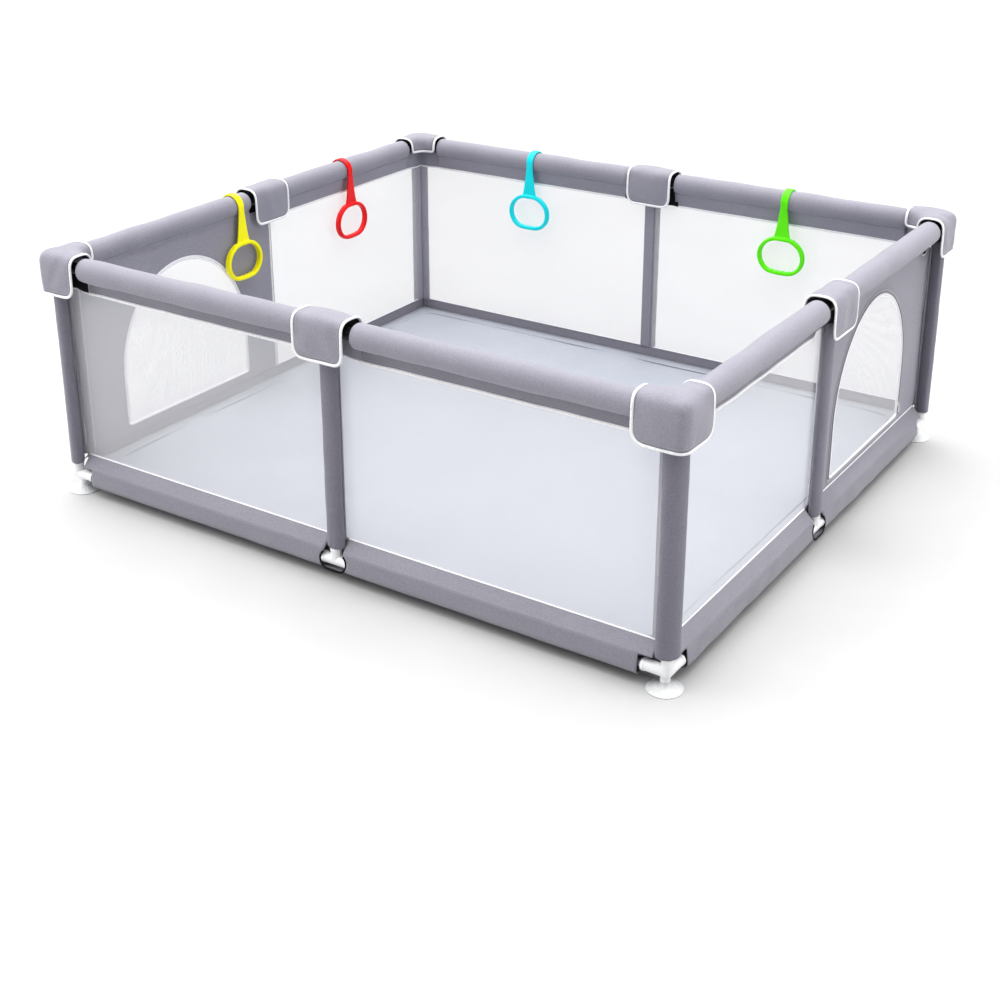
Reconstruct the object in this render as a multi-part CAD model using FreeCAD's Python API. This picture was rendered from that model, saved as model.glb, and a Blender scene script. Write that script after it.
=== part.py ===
import FreeCAD, Part
import math
import os

# Knock-down playpen: a padded tube frame on four suction feet, with mesh walls, two zipped
# arch doors and four pull handles. Millimetres, +Z up, +X along the front side.
# The origin is on the ground, under the middle of the pen. The front faces -Y.

# ---- driving dimensions ----
POST_SPACING_X = 1900.0     # between the corner post axes, along the front
POST_SPACING_Y = 1690.0     # between the corner post axes, along the sides
RAIL_Z = 684.0              # axis of the top rail
BOTTOM_RAIL_Z = 52.0        # axis of the bottom rail

RAIL_TUBE_R = 12.5          # top rail tube
FRAME_TUBE_R = 11.0         # post tubes and bottom rail tubes
TUBE_WALL = 1.5
SOCKET_WALL = 3.5           # plastic round a tube in its connector
SOCKET_PLAY = 0.1           # radial clearance of a tube in its socket
COLLAR = (1.2, 7.0)         # raised ring at a socket's mouth: height and width
TUBE_INSET = 30.0           # a tube starts this far from the axis of its connector

PAD_R = 34.0                # foam roll round the top rail
PAD_BORE_PLAY = 0.5         # radial clearance of the foam on the tube
PAD_GAP = 14.0              # bare connector seen between a cover and the next roll
SHEET = 1.6                 # thickness of mesh, fabric and skirts
SKIRT = 3.0                 # folded fabric skirt under a roll
SKIRT_BOTTOM_Z = RAIL_Z - PAD_R - 36.0
DOOR_SKIRT_BOTTOM_Z = RAIL_Z - PAD_R - 4.0

COVER_HALF_WIDTH = PAD_R + 8.0      # saddle covers, across the rail
COVER_WALL = 4.0
COVER_TOP_Z = RAIL_Z + PAD_R + 6.0
MID_COVER_HALF_LENGTH = 77.0
MID_COVER_BOTTOM_Z = RAIL_Z - PAD_R - 41.0
CAP_ARM = COVER_HALF_WIDTH + 46.0   # corner cap, from the corner post axis
CAP_BOTTOM_Z = RAIL_Z - PAD_R - 44.0
CAP_INNER_BOTTOM_Z = RAIL_Z - 8.0
CAP_CORNER_R = 28.0

POST_BOTTOM_Z = BOTTOM_RAIL_Z + FRAME_TUBE_R + 7.0
POST_TOP_Z = RAIL_Z - RAIL_TUBE_R - 7.5
SLEEVE_BOTTOM_Z = POST_BOTTOM_Z + 20.0
SLEEVE_TOP_Z = POST_TOP_Z - 24.0
SLEEVE_PLAY = 0.4
CORNER_SLEEVE = (FRAME_TUBE_R + 19.5, FRAME_TUBE_R + 9.0)  # half axes: across the corner, along it
MID_SLEEVE = (FRAME_TUBE_R + 14.5, FRAME_TUBE_R + 5.0)      # half axes: along the side, through it
# The mesh plane, inward of the post axes, clears both sleeves.
MESH_INSET = max(MID_SLEEVE[1] + 3.0, CORNER_SLEEVE[1] * math.sqrt(0.5) + 2.0)

HEM_BOTTOM_Z = BOTTOM_RAIL_Z - FRAME_TUBE_R - 15.0
HEM_SHOULDER_Z = BOTTOM_RAIL_Z + FRAME_TUBE_R + 17.0    # outer top edge of the band
HEM_TOP_Z = HEM_SHOULDER_Z + 32.0
HEM_OUTER = FRAME_TUBE_R + SOCKET_WALL + 3.5            # outward face, from the post axes
HEM_EDGE = 1.2              # half thickness of the upper edge
HEM_CORNER_R = 12.0
CORNER_CUTOUT = 70.0        # bare connector at a corner, from the post axis
MID_CUTOUT = (42.0, 25.0)   # half width and half height of the oval round a mid connector
CUTOUT_PLAY = 3.0           # round a post sleeve

CORNER_SOCKET = 62.0        # bottom connector arm, from the post axis
MID_SOCKET = 40.0
POST_SOCKET_TOP_Z = SLEEVE_BOTTOM_Z - 2.0
FOOT_STUB_R = 12.0
FOOT_STUB_Z = 22.0
FOOT_INSET = 8.0            # foot axis, inward of the post axis, both ways
CUP_R = 44.0
CUP_RIM = 3.0
CUP_NECK_R = 9.0
CUP_DISH_R = 37.0
CUP_DISH = 3.0              # depth of the suction dish
PEG_R = 4.0
PEG_TOP_Z = 32.0

STRIP = 40.0                # upright fabric strip in each corner
FLOOR_Z = HEM_SHOULDER_Z    # top of the floor, at the hem's seam
FLOOR_SHEET = 2.0
FLOOR_PLAY = 0.3            # between the floor's edge and the hem

DOOR_FRAME = 133.0          # fabric on each side of the door opening
DOOR_PANEL = POST_SPACING_Y / 2 - MESH_INSET - STRIP    # width of the door panel
ARCH_CENTRE = DOOR_PANEL / 2 + 1.0                      # door opening, from the middle post
ARCH_HALF = DOOR_PANEL / 2 - DOOR_FRAME
ARCH_BOTTOM_Z = HEM_TOP_Z + 26.0
ARCH_SPRING_Z = ARCH_BOTTOM_Z + 154.0
ARCH_TOP_Z = SKIRT_BOTTOM_Z - 33.0
DOOR_PLAY = 1.0             # between the door mesh and its panel
BINDING = 5.0               # white binding round the opening
BINDING_THICK = 1.5
BINDING_DROP = 1.5          # keeps the lower binding clear of the turning door

ZIP_OFFSET = 10.0           # slider, outward of the edge of the opening
ZIP_Z = ARCH_BOTTOM_Z + 34.0
ZIP_SLIDER = (8.0, 4.2, 14.0)   # along the side, deep, high
ZIP_CLEAR = 0.4
PULL_WIDTH = 6.4
PULL_THICK = 1.6
PULL_LENGTH = 27.0
PULL_PIN_R = 0.5
PULL_GAP = 1.0              # between the slider's face and the pull
EAR = 1.0

HANDLE_PLAY = 0.6           # hook on the foam roll
HANDLE_STRAP = 4.0          # thickness of the hook
HANDLE_WIDTH = 25.0
HOOK_END = 205.0            # degrees round the roll, from its inner side
SHANK_FOOT = 60.0           # width where the shank meets the ring
RING_HALF = (78.0, 67.0)    # half width and half height of the grip ring
RING_CENTRE_Z = RAIL_Z - PAD_R - RING_HALF[1] - 70.0
RING_BAR = 12.0
RING_DEPTH = 18.0
RING_FLAT = 60.0            # from the ring's centre down to its straight lower bar
HANDLES = {                 # side and place along it
    "yellow": ("left", -140.0),
    "red": ("left", 400.0),
    "cyan": ("back", -458.0),
    "green": ("back", 472.0),
}

HALF_X = POST_SPACING_X / 2
HALF_Y = POST_SPACING_Y / 2
FAR = 400.0                 # size of cutting blocks, larger than any connector

# Each side has a local frame: X along the side, Y outward from the post axes, Z up.
SIDES = {
    "front": (180, HALF_Y, HALF_X),
    "back": (0, HALF_Y, HALF_X),
    "left": (90, HALF_X, HALF_Y),
    "right": (-90, HALF_X, HALF_Y),
}
# Each side has two halves, one on each side of its middle post.
HALVES = [
    ("front", 1, "front_left"),
    ("front", -1, "front_right"),
    ("back", -1, "back_left"),
    ("back", 1, "back_right"),
    ("left", -1, "left_front"),
    ("left", 1, "left_rear"),
    ("right", 1, "right_front"),
    ("right", -1, "right_rear"),
]
DOOR_HALVES = ("left_front", "right_rear")
# Each corner has a local frame whose sides run along -X and -Y from the post axis.
CORNERS = {
    "back_right": (0, HALF_X, HALF_Y),
    "back_left": (90, -HALF_X, HALF_Y),
    "front_left": (180, -HALF_X, -HALF_Y),
    "front_right": (-90, HALF_X, -HALF_Y),
}
UP = FreeCAD.Vector(0, 0, 1)


def vec(x, y, z):
    return FreeCAD.Vector(x, y, z)


def on_side(shape, side):
    """Move a shape from a side's local frame to its place on the pen."""
    angle, distance, _ = SIDES[side]
    moved = shape.copy()
    moved.translate(vec(0, distance, 0))
    moved.rotate(vec(0, 0, 0), UP, angle)
    return moved


def on_corner(shape, corner):
    angle, x, y = CORNERS[corner]
    moved = shape.copy()
    moved.rotate(vec(0, 0, 0), UP, angle)
    moved.translate(vec(x, y, 0))
    return moved


def block(x, y, z):
    """A box from (low, high) pairs."""
    return Part.makeBox(x[1] - x[0], y[1] - y[0], z[1] - z[0], vec(x[0], y[0], z[0]))


def rod(radius, start, end):
    axis = end - start
    return Part.makeCylinder(radius, axis.Length, start, axis)


def fuse(shapes):
    return shapes[0].multiFuse(shapes[1:]).removeSplitter()


def polygon(points):
    return Part.Face(Part.makePolygon(points + [points[0]]))


def save(name, solids):
    shape = solids[0] if len(solids) == 1 else Part.makeCompound(solids)
    shape.exportStep("parts/" + name + ".step")


def halves_of(side):
    return [(sign, name) for owner, sign, name in HALVES if owner == side]


# ---- tubes ----

def tube(radius, start, end):
    return rod(radius, start, end).cut(rod(radius - TUBE_WALL, start, end))


def rail_tubes(side, radius, z):
    half = SIDES[side][2]
    shapes = []
    for sign in (-1, 1):
        start = vec(sign * TUBE_INSET, 0, z)
        end = vec(sign * (half - TUBE_INSET), 0, z)
        shapes.append(on_side(tube(radius, start, end), side))
    return shapes


def post_tube():
    return tube(FRAME_TUBE_R, vec(0, 0, POST_BOTTOM_Z), vec(0, 0, POST_TOP_Z))


# ---- connectors ----

def socket(tube_r, start, mouth):
    """A round socket with a raised collar at its mouth."""
    rise, width = COLLAR
    axis = (mouth - start).normalize()
    body = rod(tube_r + SOCKET_WALL, start, mouth)
    return body.fuse(rod(tube_r + SOCKET_WALL + rise, mouth - axis * width, mouth))


def bore(tube_r, start, mouth):
    return rod(tube_r + SOCKET_PLAY, start, mouth)


def connector(z, tube_r, arms, post_mouth_z, post_seat_z):
    """A moulded hub with a socket for each tube direction in arms, and one for the post."""
    centre = vec(0, 0, z)
    solid = [Part.makeSphere(tube_r + SOCKET_WALL, centre)]
    holes = []
    for direction, reach in arms:
        mouth = centre + direction * reach
        solid.append(socket(tube_r, centre, mouth))
        holes.append(bore(tube_r, centre + direction * TUBE_INSET, mouth))
    solid.append(socket(FRAME_TUBE_R, centre, vec(0, 0, post_mouth_z)))
    holes.append(bore(FRAME_TUBE_R, vec(0, 0, post_seat_z), vec(0, 0, post_mouth_z)))
    return solid, holes


def top_connector(arms):
    mouth_z = SLEEVE_TOP_Z + 4
    solid, holes = connector(RAIL_Z, RAIL_TUBE_R, arms, mouth_z, POST_TOP_Z)
    return fuse(solid).cut(fuse(holes))


def corner_arms(reach):
    return [(vec(-1, 0, 0), reach), (vec(0, -1, 0), reach)]


def mid_arms(reach):
    return [(vec(-1, 0, 0), reach), (vec(1, 0, 0), reach)]


def bottom_corner_connector():
    solid, holes = connector(BOTTOM_RAIL_Z, FRAME_TUBE_R, corner_arms(CORNER_SOCKET),
                             POST_SOCKET_TOP_Z, POST_BOTTOM_Z)
    foot = vec(-FOOT_INSET, -FOOT_INSET, FOOT_STUB_Z)
    solid.append(rod(FOOT_STUB_R, foot, foot + UP * (BOTTOM_RAIL_Z - FOOT_STUB_Z)))
    peg_hole = rod(PEG_R + SOCKET_PLAY, foot, foot + UP * (PEG_TOP_Z - FOOT_STUB_Z + 1))
    return fuse(solid).cut(fuse(holes)).cut(peg_hole)


def bottom_mid_connector():
    solid, holes = connector(BOTTOM_RAIL_Z, FRAME_TUBE_R, mid_arms(MID_SOCKET),
                             POST_SOCKET_TOP_Z, POST_BOTTOM_Z)
    return fuse(solid).cut(fuse(holes))


def suction_cup():
    """A dished rubber disc with a neck and a peg that pushes into the corner connector."""
    neck_z = FOOT_STUB_Z - 7
    points = [
        vec(0, 0, CUP_DISH), vec(CUP_DISH_R, 0, 0), vec(CUP_R, 0, 0), vec(CUP_R, 0, CUP_RIM),
        vec(CUP_NECK_R, 0, neck_z), vec(CUP_NECK_R, 0, FOOT_STUB_Z), vec(PEG_R, 0, FOOT_STUB_Z),
        vec(PEG_R, 0, PEG_TOP_Z), vec(0, 0, PEG_TOP_Z),
    ]
    cup = polygon(points).revolve(vec(0, 0, 0), UP, 360)
    cup.translate(vec(-FOOT_INSET, -FOOT_INSET, 0))
    return cup


# ---- soft covers ----

def rail_pad(side, sign, name):
    """One padded roll with the fabric skirt that the wall hangs from."""
    start_t = MID_COVER_HALF_LENGTH + PAD_GAP
    end_t = SIDES[side][2] - CAP_ARM - PAD_GAP
    start = vec(sign * start_t, 0, RAIL_Z)
    end = vec(sign * end_t, 0, RAIL_Z)
    bottom_z = DOOR_SKIRT_BOTTOM_Z if name in DOOR_HALVES else SKIRT_BOTTOM_Z
    skirt = block(sorted((sign * start_t, sign * end_t)),
                  (-MESH_INSET - SKIRT / 2, -MESH_INSET + SKIRT / 2),
                  (bottom_z, RAIL_Z - PAD_R / 2))
    roll = fuse([rod(PAD_R, start, end), skirt])
    return on_side(roll.cut(rod(RAIL_TUBE_R + PAD_BORE_PLAY, start, end)), side)


def saddle_face(half_width, top_z, bottom_z):
    """The outline of a cover across its rail: two flaps under a round top."""
    spring_z = top_z - half_width
    arc = Part.Arc(vec(0, -half_width, spring_z), vec(0, 0, top_z), vec(0, half_width, spring_z))
    legs = Part.makePolygon([vec(0, half_width, spring_z), vec(0, half_width, bottom_z),
                             vec(0, -half_width, bottom_z), vec(0, -half_width, spring_z)])
    return Part.Face(Part.Wire([arc.toShape()] + legs.Edges))


def mid_cover():
    length = 2 * MID_COVER_HALF_LENGTH
    shapes = []
    for wall, low in ((0, MID_COVER_BOTTOM_Z), (COVER_WALL, MID_COVER_BOTTOM_Z - COVER_WALL)):
        face = saddle_face(COVER_HALF_WIDTH - wall, COVER_TOP_Z - wall, low)
        solid = face.extrude(vec(length, 0, 0))
        solid.translate(vec(-MID_COVER_HALF_LENGTH, 0, 0))
        shapes.append(solid)
    return shapes[0].cut(shapes[1])


def cap_solid(wall, arm, bottom_z):
    """Two saddles that meet in a mitre over the corner post, with the outer corner rounded."""
    half = COVER_HALF_WIDTH - wall
    along_x = saddle_face(half, COVER_TOP_Z - wall, bottom_z).extrude(vec(arm + FAR, 0, 0))
    along_x.translate(vec(-arm, 0, 0))
    mitre = polygon([vec(-FAR, -FAR, 0), vec(FAR, FAR, 0), vec(-FAR, FAR, 0)])
    mitre = mitre.extrude(vec(0, 0, COVER_TOP_Z + 1))
    along_x = along_x.common(mitre)
    along_y = along_x.mirror(vec(0, 0, 0), vec(1, -1, 0))
    column = block((-FAR, half), (-FAR, half), (0, COVER_TOP_Z + 1))
    edges = [e for e in column.Edges if e.CenterOfMass.x > half - 1 and e.CenterOfMass.y > half - 1]
    column = column.makeFillet(CAP_CORNER_R - wall, edges)
    return fuse([along_x, along_y]).common(column)


def corner_cap():
    outer = cap_solid(0, CAP_ARM, CAP_BOTTOM_Z)
    inner = cap_solid(COVER_WALL, CAP_ARM + 1, CAP_BOTTOM_Z - COVER_WALL)
    inside = COVER_HALF_WIDTH - COVER_WALL - 4
    short = block((-FAR, -inside), (-FAR, -inside), (CAP_BOTTOM_Z - 1, CAP_INNER_BOTTOM_Z))
    return outer.cut(inner).cut(short)


def sleeve(half_axes, turn):
    """A padded oval tube of fabric round a post."""
    wide, deep = half_axes
    oval = Part.Ellipse(vec(0, 0, SLEEVE_BOTTOM_Z), wide, deep).toShape()
    solid = Part.Face(Part.Wire(oval)).extrude(UP * (SLEEVE_TOP_Z - SLEEVE_BOTTOM_Z))
    solid = solid.cut(rod(FRAME_TUBE_R + SLEEVE_PLAY, vec(0, 0, SLEEVE_BOTTOM_Z), vec(0, 0, SLEEVE_TOP_Z)))
    solid.rotate(vec(0, 0, 0), UP, turn)
    return solid


# ---- walls ----

def wall_sheet(t, z):
    """A flat piece of the wall, in the mesh plane of a side."""
    return block(t, (-MESH_INSET - SHEET / 2, -MESH_INSET + SHEET / 2), z)


def half_span(side, sign):
    return sorted((0.0, sign * (SIDES[side][2] - MESH_INSET - STRIP)))


def arch_outline(grow, drop):
    """The door's outline in the mesh plane: a straight foot and sides under half an ellipse."""
    half = ARCH_HALF + grow
    low = ARCH_BOTTOM_Z - grow - drop
    centre = vec(-ARCH_CENTRE, 0, ARCH_SPRING_Z)
    rise = ARCH_TOP_Z - ARCH_SPRING_Z + grow
    right = centre + vec(half, 0, 0)
    left = centre - vec(half, 0, 0)
    tall = rise > half
    major = centre + (vec(0, 0, rise) if tall else vec(half, 0, 0))
    minor = centre + (vec(-half, 0, 0) if tall else vec(0, 0, rise))
    ellipse = Part.Ellipse(major, minor, centre)
    start = ellipse.parameter(right)
    end = ellipse.parameter(left)
    if ellipse.value((start + (end if end > start else end + 2 * math.pi)) / 2).z < ARCH_SPRING_Z:
        start, end = end, start
    if end < start:
        end += 2 * math.pi
    top = Part.ArcOfEllipse(ellipse, start, end).toShape()
    corner_right = vec(right.x, 0, low)
    corner_left = vec(left.x, 0, low)
    edges = [top, Part.makeLine(right, corner_right), Part.makeLine(corner_right, corner_left),
             Part.makeLine(corner_left, left)]
    return Part.Face(Part.Wire(Part.__sortEdges__(edges)))


def arch_plate(grow, y, drop=0.0):
    face = arch_outline(grow, drop)
    face.translate(vec(0, y[0], 0))
    return face.extrude(vec(0, y[1] - y[0], 0))


def wall_panel(side, sign, name):
    """Plain mesh, or on a door half a fabric panel with its arched opening."""
    if name not in DOOR_HALVES:
        return on_side(wall_sheet(half_span(side, sign), (HEM_TOP_Z, SKIRT_BOTTOM_Z)), side)
    panel = wall_sheet(half_span(side, sign), (HEM_TOP_Z, DOOR_SKIRT_BOTTOM_Z))
    under_cap = SIDES[side][2] - CAP_ARM - PAD_GAP
    notch = block(sorted((sign * under_cap, sign * FAR * 4)), (-FAR, 0), (SKIRT_BOTTOM_Z, FAR * 4))
    hole = arch_plate(0.0, (-MESH_INSET - SHEET, -MESH_INSET + SHEET))
    return on_side(panel.cut(notch).cut(hole), side)


def door_mesh():
    return arch_plate(-DOOR_PLAY, (-MESH_INSET - SHEET / 2, -MESH_INSET + SHEET / 2))


def door_binding():
    face_y = -MESH_INSET + SHEET / 2
    span = (face_y, face_y + BINDING_THICK)
    return arch_plate(BINDING, span, BINDING_DROP).cut(arch_plate(0.0, span, BINDING_DROP))


def corner_strip():
    """The upright fabric strip inside a corner, and the skirt under its cap."""
    inner = -MESH_INSET - SHEET / 2
    outer = -MESH_INSET + SHEET / 2
    strip_end = -MESH_INSET - STRIP
    skirt_end = -CAP_ARM - PAD_GAP
    top = (SKIRT_BOTTOM_Z, RAIL_Z - PAD_R + 5)
    along_x = fuse([
        block((strip_end, outer), (inner, outer), (HEM_TOP_Z, top[1])),
        block((skirt_end, outer), (inner, outer), top),
    ])
    return fuse([along_x, along_x.mirror(vec(0, 0, 0), vec(1, -1, 0))])


def hem_profile():
    """The sewn band round the bottom rail: a pouch that narrows up to the edge of the mesh."""
    back = -MESH_INSET - HEM_EDGE
    r = HEM_CORNER_R
    cut = r * (1 - math.sqrt(0.5))
    low = HEM_BOTTOM_Z
    outer_arc = Part.Arc(vec(0, HEM_OUTER, low + r), vec(0, HEM_OUTER - cut, low + cut),
                         vec(0, HEM_OUTER - r, low))
    inner_arc = Part.Arc(vec(0, back + r, low), vec(0, back + cut, low + cut), vec(0, back, low + r))
    lines = [
        Part.makeLine(vec(0, back, low + r), vec(0, back, HEM_TOP_Z)),
        Part.makeLine(vec(0, back, HEM_TOP_Z), vec(0, back + 2 * HEM_EDGE, HEM_TOP_Z)),
        Part.makeLine(vec(0, back + 2 * HEM_EDGE, HEM_TOP_Z), vec(0, HEM_OUTER, HEM_SHOULDER_Z)),
        Part.makeLine(vec(0, HEM_OUTER, HEM_SHOULDER_Z), vec(0, HEM_OUTER, low + r)),
        outer_arc.toShape(),
        Part.makeLine(vec(0, HEM_OUTER - r, low), vec(0, back + r, low)),
        inner_arc.toShape(),
    ]
    return Part.Wire(lines)


def hem(side):
    half = SIDES[side][2]
    reach = half + 2 * HEM_OUTER
    outer = Part.Face(hem_profile())
    inner = outer.makeOffset2D(-SHEET)
    solid = outer.extrude(vec(2 * reach, 0, 0)).cut(inner.extrude(vec(2 * reach, 0, 0)))
    solid.translate(vec(-reach, 0, 0))
    mitre = polygon([vec(-half - FAR, FAR, 0), vec(half + FAR, FAR, 0),
                     vec(half - FAR, -FAR, 0), vec(-half + FAR, -FAR, 0)])
    solid = solid.common(mitre.extrude(UP * (HEM_TOP_Z + 1)))
    inside = -MESH_INSET + HEM_EDGE + 0.2
    corner_post = max(CORNER_SLEEVE) + CUTOUT_PLAY
    mid_post = MID_SLEEVE[0] + CUTOUT_PLAY
    z_low = BOTTOM_RAIL_Z + FRAME_TUBE_R
    depth = (inside, FAR)
    cuts = [block((-mid_post, mid_post), depth, (z_low, HEM_TOP_Z + 1))]
    for sign in (-1, 1):
        cuts.append(block(sorted((sign * (half - CORNER_CUTOUT), sign * (half + FAR))),
                          depth, (0, HEM_SHOULDER_Z + 1)))
        cuts.append(block(sorted((sign * (half - corner_post), sign * (half + FAR))),
                          depth, (z_low, HEM_TOP_Z + 1)))
    wide, high = MID_CUTOUT
    middle_z = (HEM_BOTTOM_Z + HEM_SHOULDER_Z) / 2
    for offset in (-(wide - high), wide - high):
        cuts.append(rod(high, vec(offset, inside, middle_z), vec(offset, FAR, middle_z)))
    cuts.append(block((-(wide - high), wide - high), depth, (middle_z - high, middle_z + high)))
    return on_side(solid.cut(fuse(cuts)), side)


def floor():
    """A fabric floor drawn tight between the hems."""
    edge = MESH_INSET + HEM_EDGE + FLOOR_PLAY
    x = HALF_X - edge
    y = HALF_Y - edge
    return block((-x, x), (-y, y), (FLOOR_Z - FLOOR_SHEET, FLOOR_Z))


# ---- zips ----

def zip_place():
    """Where the slider sits: beside the foot of the opening, on the corner side."""
    return -ARCH_CENTRE - ARCH_HALF - ZIP_OFFSET


def zip_slider():
    width, depth, height = ZIP_SLIDER
    t = zip_place()
    back = -MESH_INSET + SHEET / 2 + ZIP_CLEAR
    front = back + depth
    pin_y = front + PULL_GAP + PULL_THICK / 2
    body = block((t - width / 2, t + width / 2), (back, front), (ZIP_Z - height / 2, ZIP_Z + height / 2))
    ear_in = PULL_WIDTH / 2 + 0.4
    parts = [body, rod(PULL_PIN_R, vec(t - ear_in - EAR, pin_y, ZIP_Z), vec(t + ear_in + EAR, pin_y, ZIP_Z))]
    for sign in (-1, 1):
        span = sorted((t + sign * ear_in, t + sign * (ear_in + EAR)))
        parts.append(block(span, (front - 2, pin_y + 1.2), (ZIP_Z - 1.6, ZIP_Z + 1.6)))
    return fuse(parts)


def zip_pull():
    t = zip_place()
    front = -MESH_INSET + SHEET / 2 + ZIP_CLEAR + ZIP_SLIDER[1]
    near = front + PULL_GAP
    pin_y = near + PULL_THICK / 2
    tab = block((t - PULL_WIDTH / 2, t + PULL_WIDTH / 2), (near, near + PULL_THICK),
                (ZIP_Z + 1.2 - PULL_LENGTH, ZIP_Z + 1.2))
    hole = rod(PULL_PIN_R + SOCKET_PLAY, vec(t - PULL_WIDTH, pin_y, ZIP_Z), vec(t + PULL_WIDTH, pin_y, ZIP_Z))
    return tab.cut(hole)


# ---- pull handles ----

def ring_outline(grow):
    """A wide ring with a straight lower bar."""
    wide, high = RING_HALF
    oval = Part.Ellipse(vec(0, 0, 0), wide + grow, high + grow).toShape()
    face = Part.Face(Part.Wire(oval))
    face.rotate(vec(0, 0, 0), vec(1, 0, 0), 90)
    low = -(RING_FLAT + grow)
    keep = block((-FAR, FAR), (-1, 1), (low, FAR))
    return face.common(keep)


def handle():
    """One moulding: a hook over the foam roll, a shank that widens, and a grip ring."""
    inner_r = PAD_R + HANDLE_PLAY
    outer_r = inner_r + HANDLE_STRAP
    half = HANDLE_WIDTH / 2
    axis_start = vec(-half, 0, RAIL_Z)
    hook = rod(outer_r, axis_start, axis_start + vec(HANDLE_WIDTH, 0, 0))
    hook = hook.cut(rod(inner_r, axis_start, axis_start + vec(HANDLE_WIDTH, 0, 0)))
    end = math.radians(HOOK_END)
    reach = FAR / 2
    open_side = polygon([
        vec(-FAR, 0, RAIL_Z), vec(-FAR, -reach, RAIL_Z), vec(-FAR, -reach, RAIL_Z - reach),
        vec(-FAR, reach, RAIL_Z - reach),
        vec(-FAR, -reach * math.cos(end), RAIL_Z + reach * math.sin(end)),
    ]).extrude(vec(2 * FAR, 0, 0))
    hook = hook.cut(open_side)
    middle_y = -(inner_r + HANDLE_STRAP / 2)
    ring_y = (middle_y - RING_DEPTH / 2, middle_y + RING_DEPTH / 2)
    ring = ring_outline(0.0).extrude(vec(0, RING_DEPTH, 0))
    ring = ring.cut(ring_outline(-RING_BAR).extrude(vec(0, RING_DEPTH, 0)))
    ring.translate(vec(0, ring_y[0], RING_CENTRE_Z))
    foot_z = RING_CENTRE_Z + RING_HALF[1] - RING_BAR
    shank = polygon([vec(-half, -outer_r, RAIL_Z), vec(half, -outer_r, RAIL_Z),
                     vec(SHANK_FOOT / 2, -outer_r, foot_z), vec(-SHANK_FOOT / 2, -outer_r, foot_z)])
    shank = shank.extrude(vec(0, HANDLE_STRAP, 0))
    hole = ring_outline(-RING_BAR).extrude(vec(0, RING_DEPTH, 0))
    hole.translate(vec(0, ring_y[0], RING_CENTRE_Z))
    return fuse([hook, shank.cut(hole), ring])


# ---- build ----

os.makedirs("parts", exist_ok=True)

for label, pair in (("long", ("front", "back")), ("short", ("left", "right"))):
    top_tubes = []
    low_tubes = []
    for side in pair:
        top_tubes += rail_tubes(side, RAIL_TUBE_R, RAIL_Z)
        low_tubes += rail_tubes(side, FRAME_TUBE_R, BOTTOM_RAIL_Z)
    save("top_rail_tubes_" + label, top_tubes)
    save("bottom_rail_tubes_" + label, low_tubes)

save("post_tubes", [on_side(post_tube(), side) for side in SIDES]
     + [on_corner(post_tube(), corner) for corner in CORNERS])

corner_reach = CAP_ARM + PAD_GAP - 0.5
mid_reach = MID_COVER_HALF_LENGTH + PAD_GAP - 0.5
save("top_corner_connectors", [on_corner(top_connector(corner_arms(corner_reach)), c) for c in CORNERS])
save("top_mid_connectors", [on_side(top_connector(mid_arms(mid_reach)), s) for s in SIDES])
save("bottom_corner_connectors", [on_corner(bottom_corner_connector(), c) for c in CORNERS])
save("bottom_mid_connectors", [on_side(bottom_mid_connector(), s) for s in SIDES])
save("suction_cups", [on_corner(suction_cup(), c) for c in CORNERS])
save("corner_strips", [on_corner(corner_strip(), c) for c in CORNERS])

for side, sign, name in HALVES:
    save("rail_pad_" + name, [rail_pad(side, sign, name)])
    kind = "door_panel_" if name in DOOR_HALVES else "mesh_panel_"
    save(kind + name, [wall_panel(side, sign, name)])

for side in SIDES:
    save("mid_cover_" + side, [on_side(mid_cover(), side)])
    save("mid_post_sleeve_" + side, [on_side(sleeve(MID_SLEEVE, 0), side)])
    save("bottom_hem_" + side, [hem(side)])

for corner in CORNERS:
    save("corner_cap_" + corner, [on_corner(corner_cap(), corner)])
    save("corner_post_sleeve_" + corner, [on_corner(sleeve(CORNER_SLEEVE, -45), corner)])

save("floor_mat", [floor()])

for side in ("left", "right"):
    save("door_mesh_" + side, [on_side(door_mesh(), side)])
    save("zip_slider_" + side, [on_side(zip_slider(), side)])
    save("zip_pull_" + side, [on_side(zip_pull(), side)])
save("door_bindings", [on_side(door_binding(), side) for side in ("left", "right")])

for colour, (side, place) in HANDLES.items():
    moulding = handle()
    moulding.translate(vec(place, 0, 0))
    save("pull_handle_" + colour, [on_side(moulding, side)])
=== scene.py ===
import math

import bmesh
import bpy
import numpy as np
from mathutils import Matrix, Vector


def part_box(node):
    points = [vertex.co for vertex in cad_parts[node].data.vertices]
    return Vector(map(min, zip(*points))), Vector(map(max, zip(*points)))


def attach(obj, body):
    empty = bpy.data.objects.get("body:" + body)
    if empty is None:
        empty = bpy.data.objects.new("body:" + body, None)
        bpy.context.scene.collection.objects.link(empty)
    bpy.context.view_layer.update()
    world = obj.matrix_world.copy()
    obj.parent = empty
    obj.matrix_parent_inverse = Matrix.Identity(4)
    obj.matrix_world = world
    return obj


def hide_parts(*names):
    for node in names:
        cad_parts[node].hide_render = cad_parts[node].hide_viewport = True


# A padded playpen on four suction feet. Metres, +Z up, the front faces -Y.
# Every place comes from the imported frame: the rails, posts, covers, hems and handles.

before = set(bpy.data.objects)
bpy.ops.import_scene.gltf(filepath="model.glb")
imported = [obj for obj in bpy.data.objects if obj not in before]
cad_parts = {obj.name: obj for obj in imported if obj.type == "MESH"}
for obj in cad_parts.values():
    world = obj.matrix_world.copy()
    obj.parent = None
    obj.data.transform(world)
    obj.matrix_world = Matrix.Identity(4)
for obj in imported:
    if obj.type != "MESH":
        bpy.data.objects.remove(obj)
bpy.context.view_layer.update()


# ---- sizes read from the frame ----

def middle(node, axis):
    low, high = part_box(node)
    return (low[axis] + high[axis]) / 2


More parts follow.
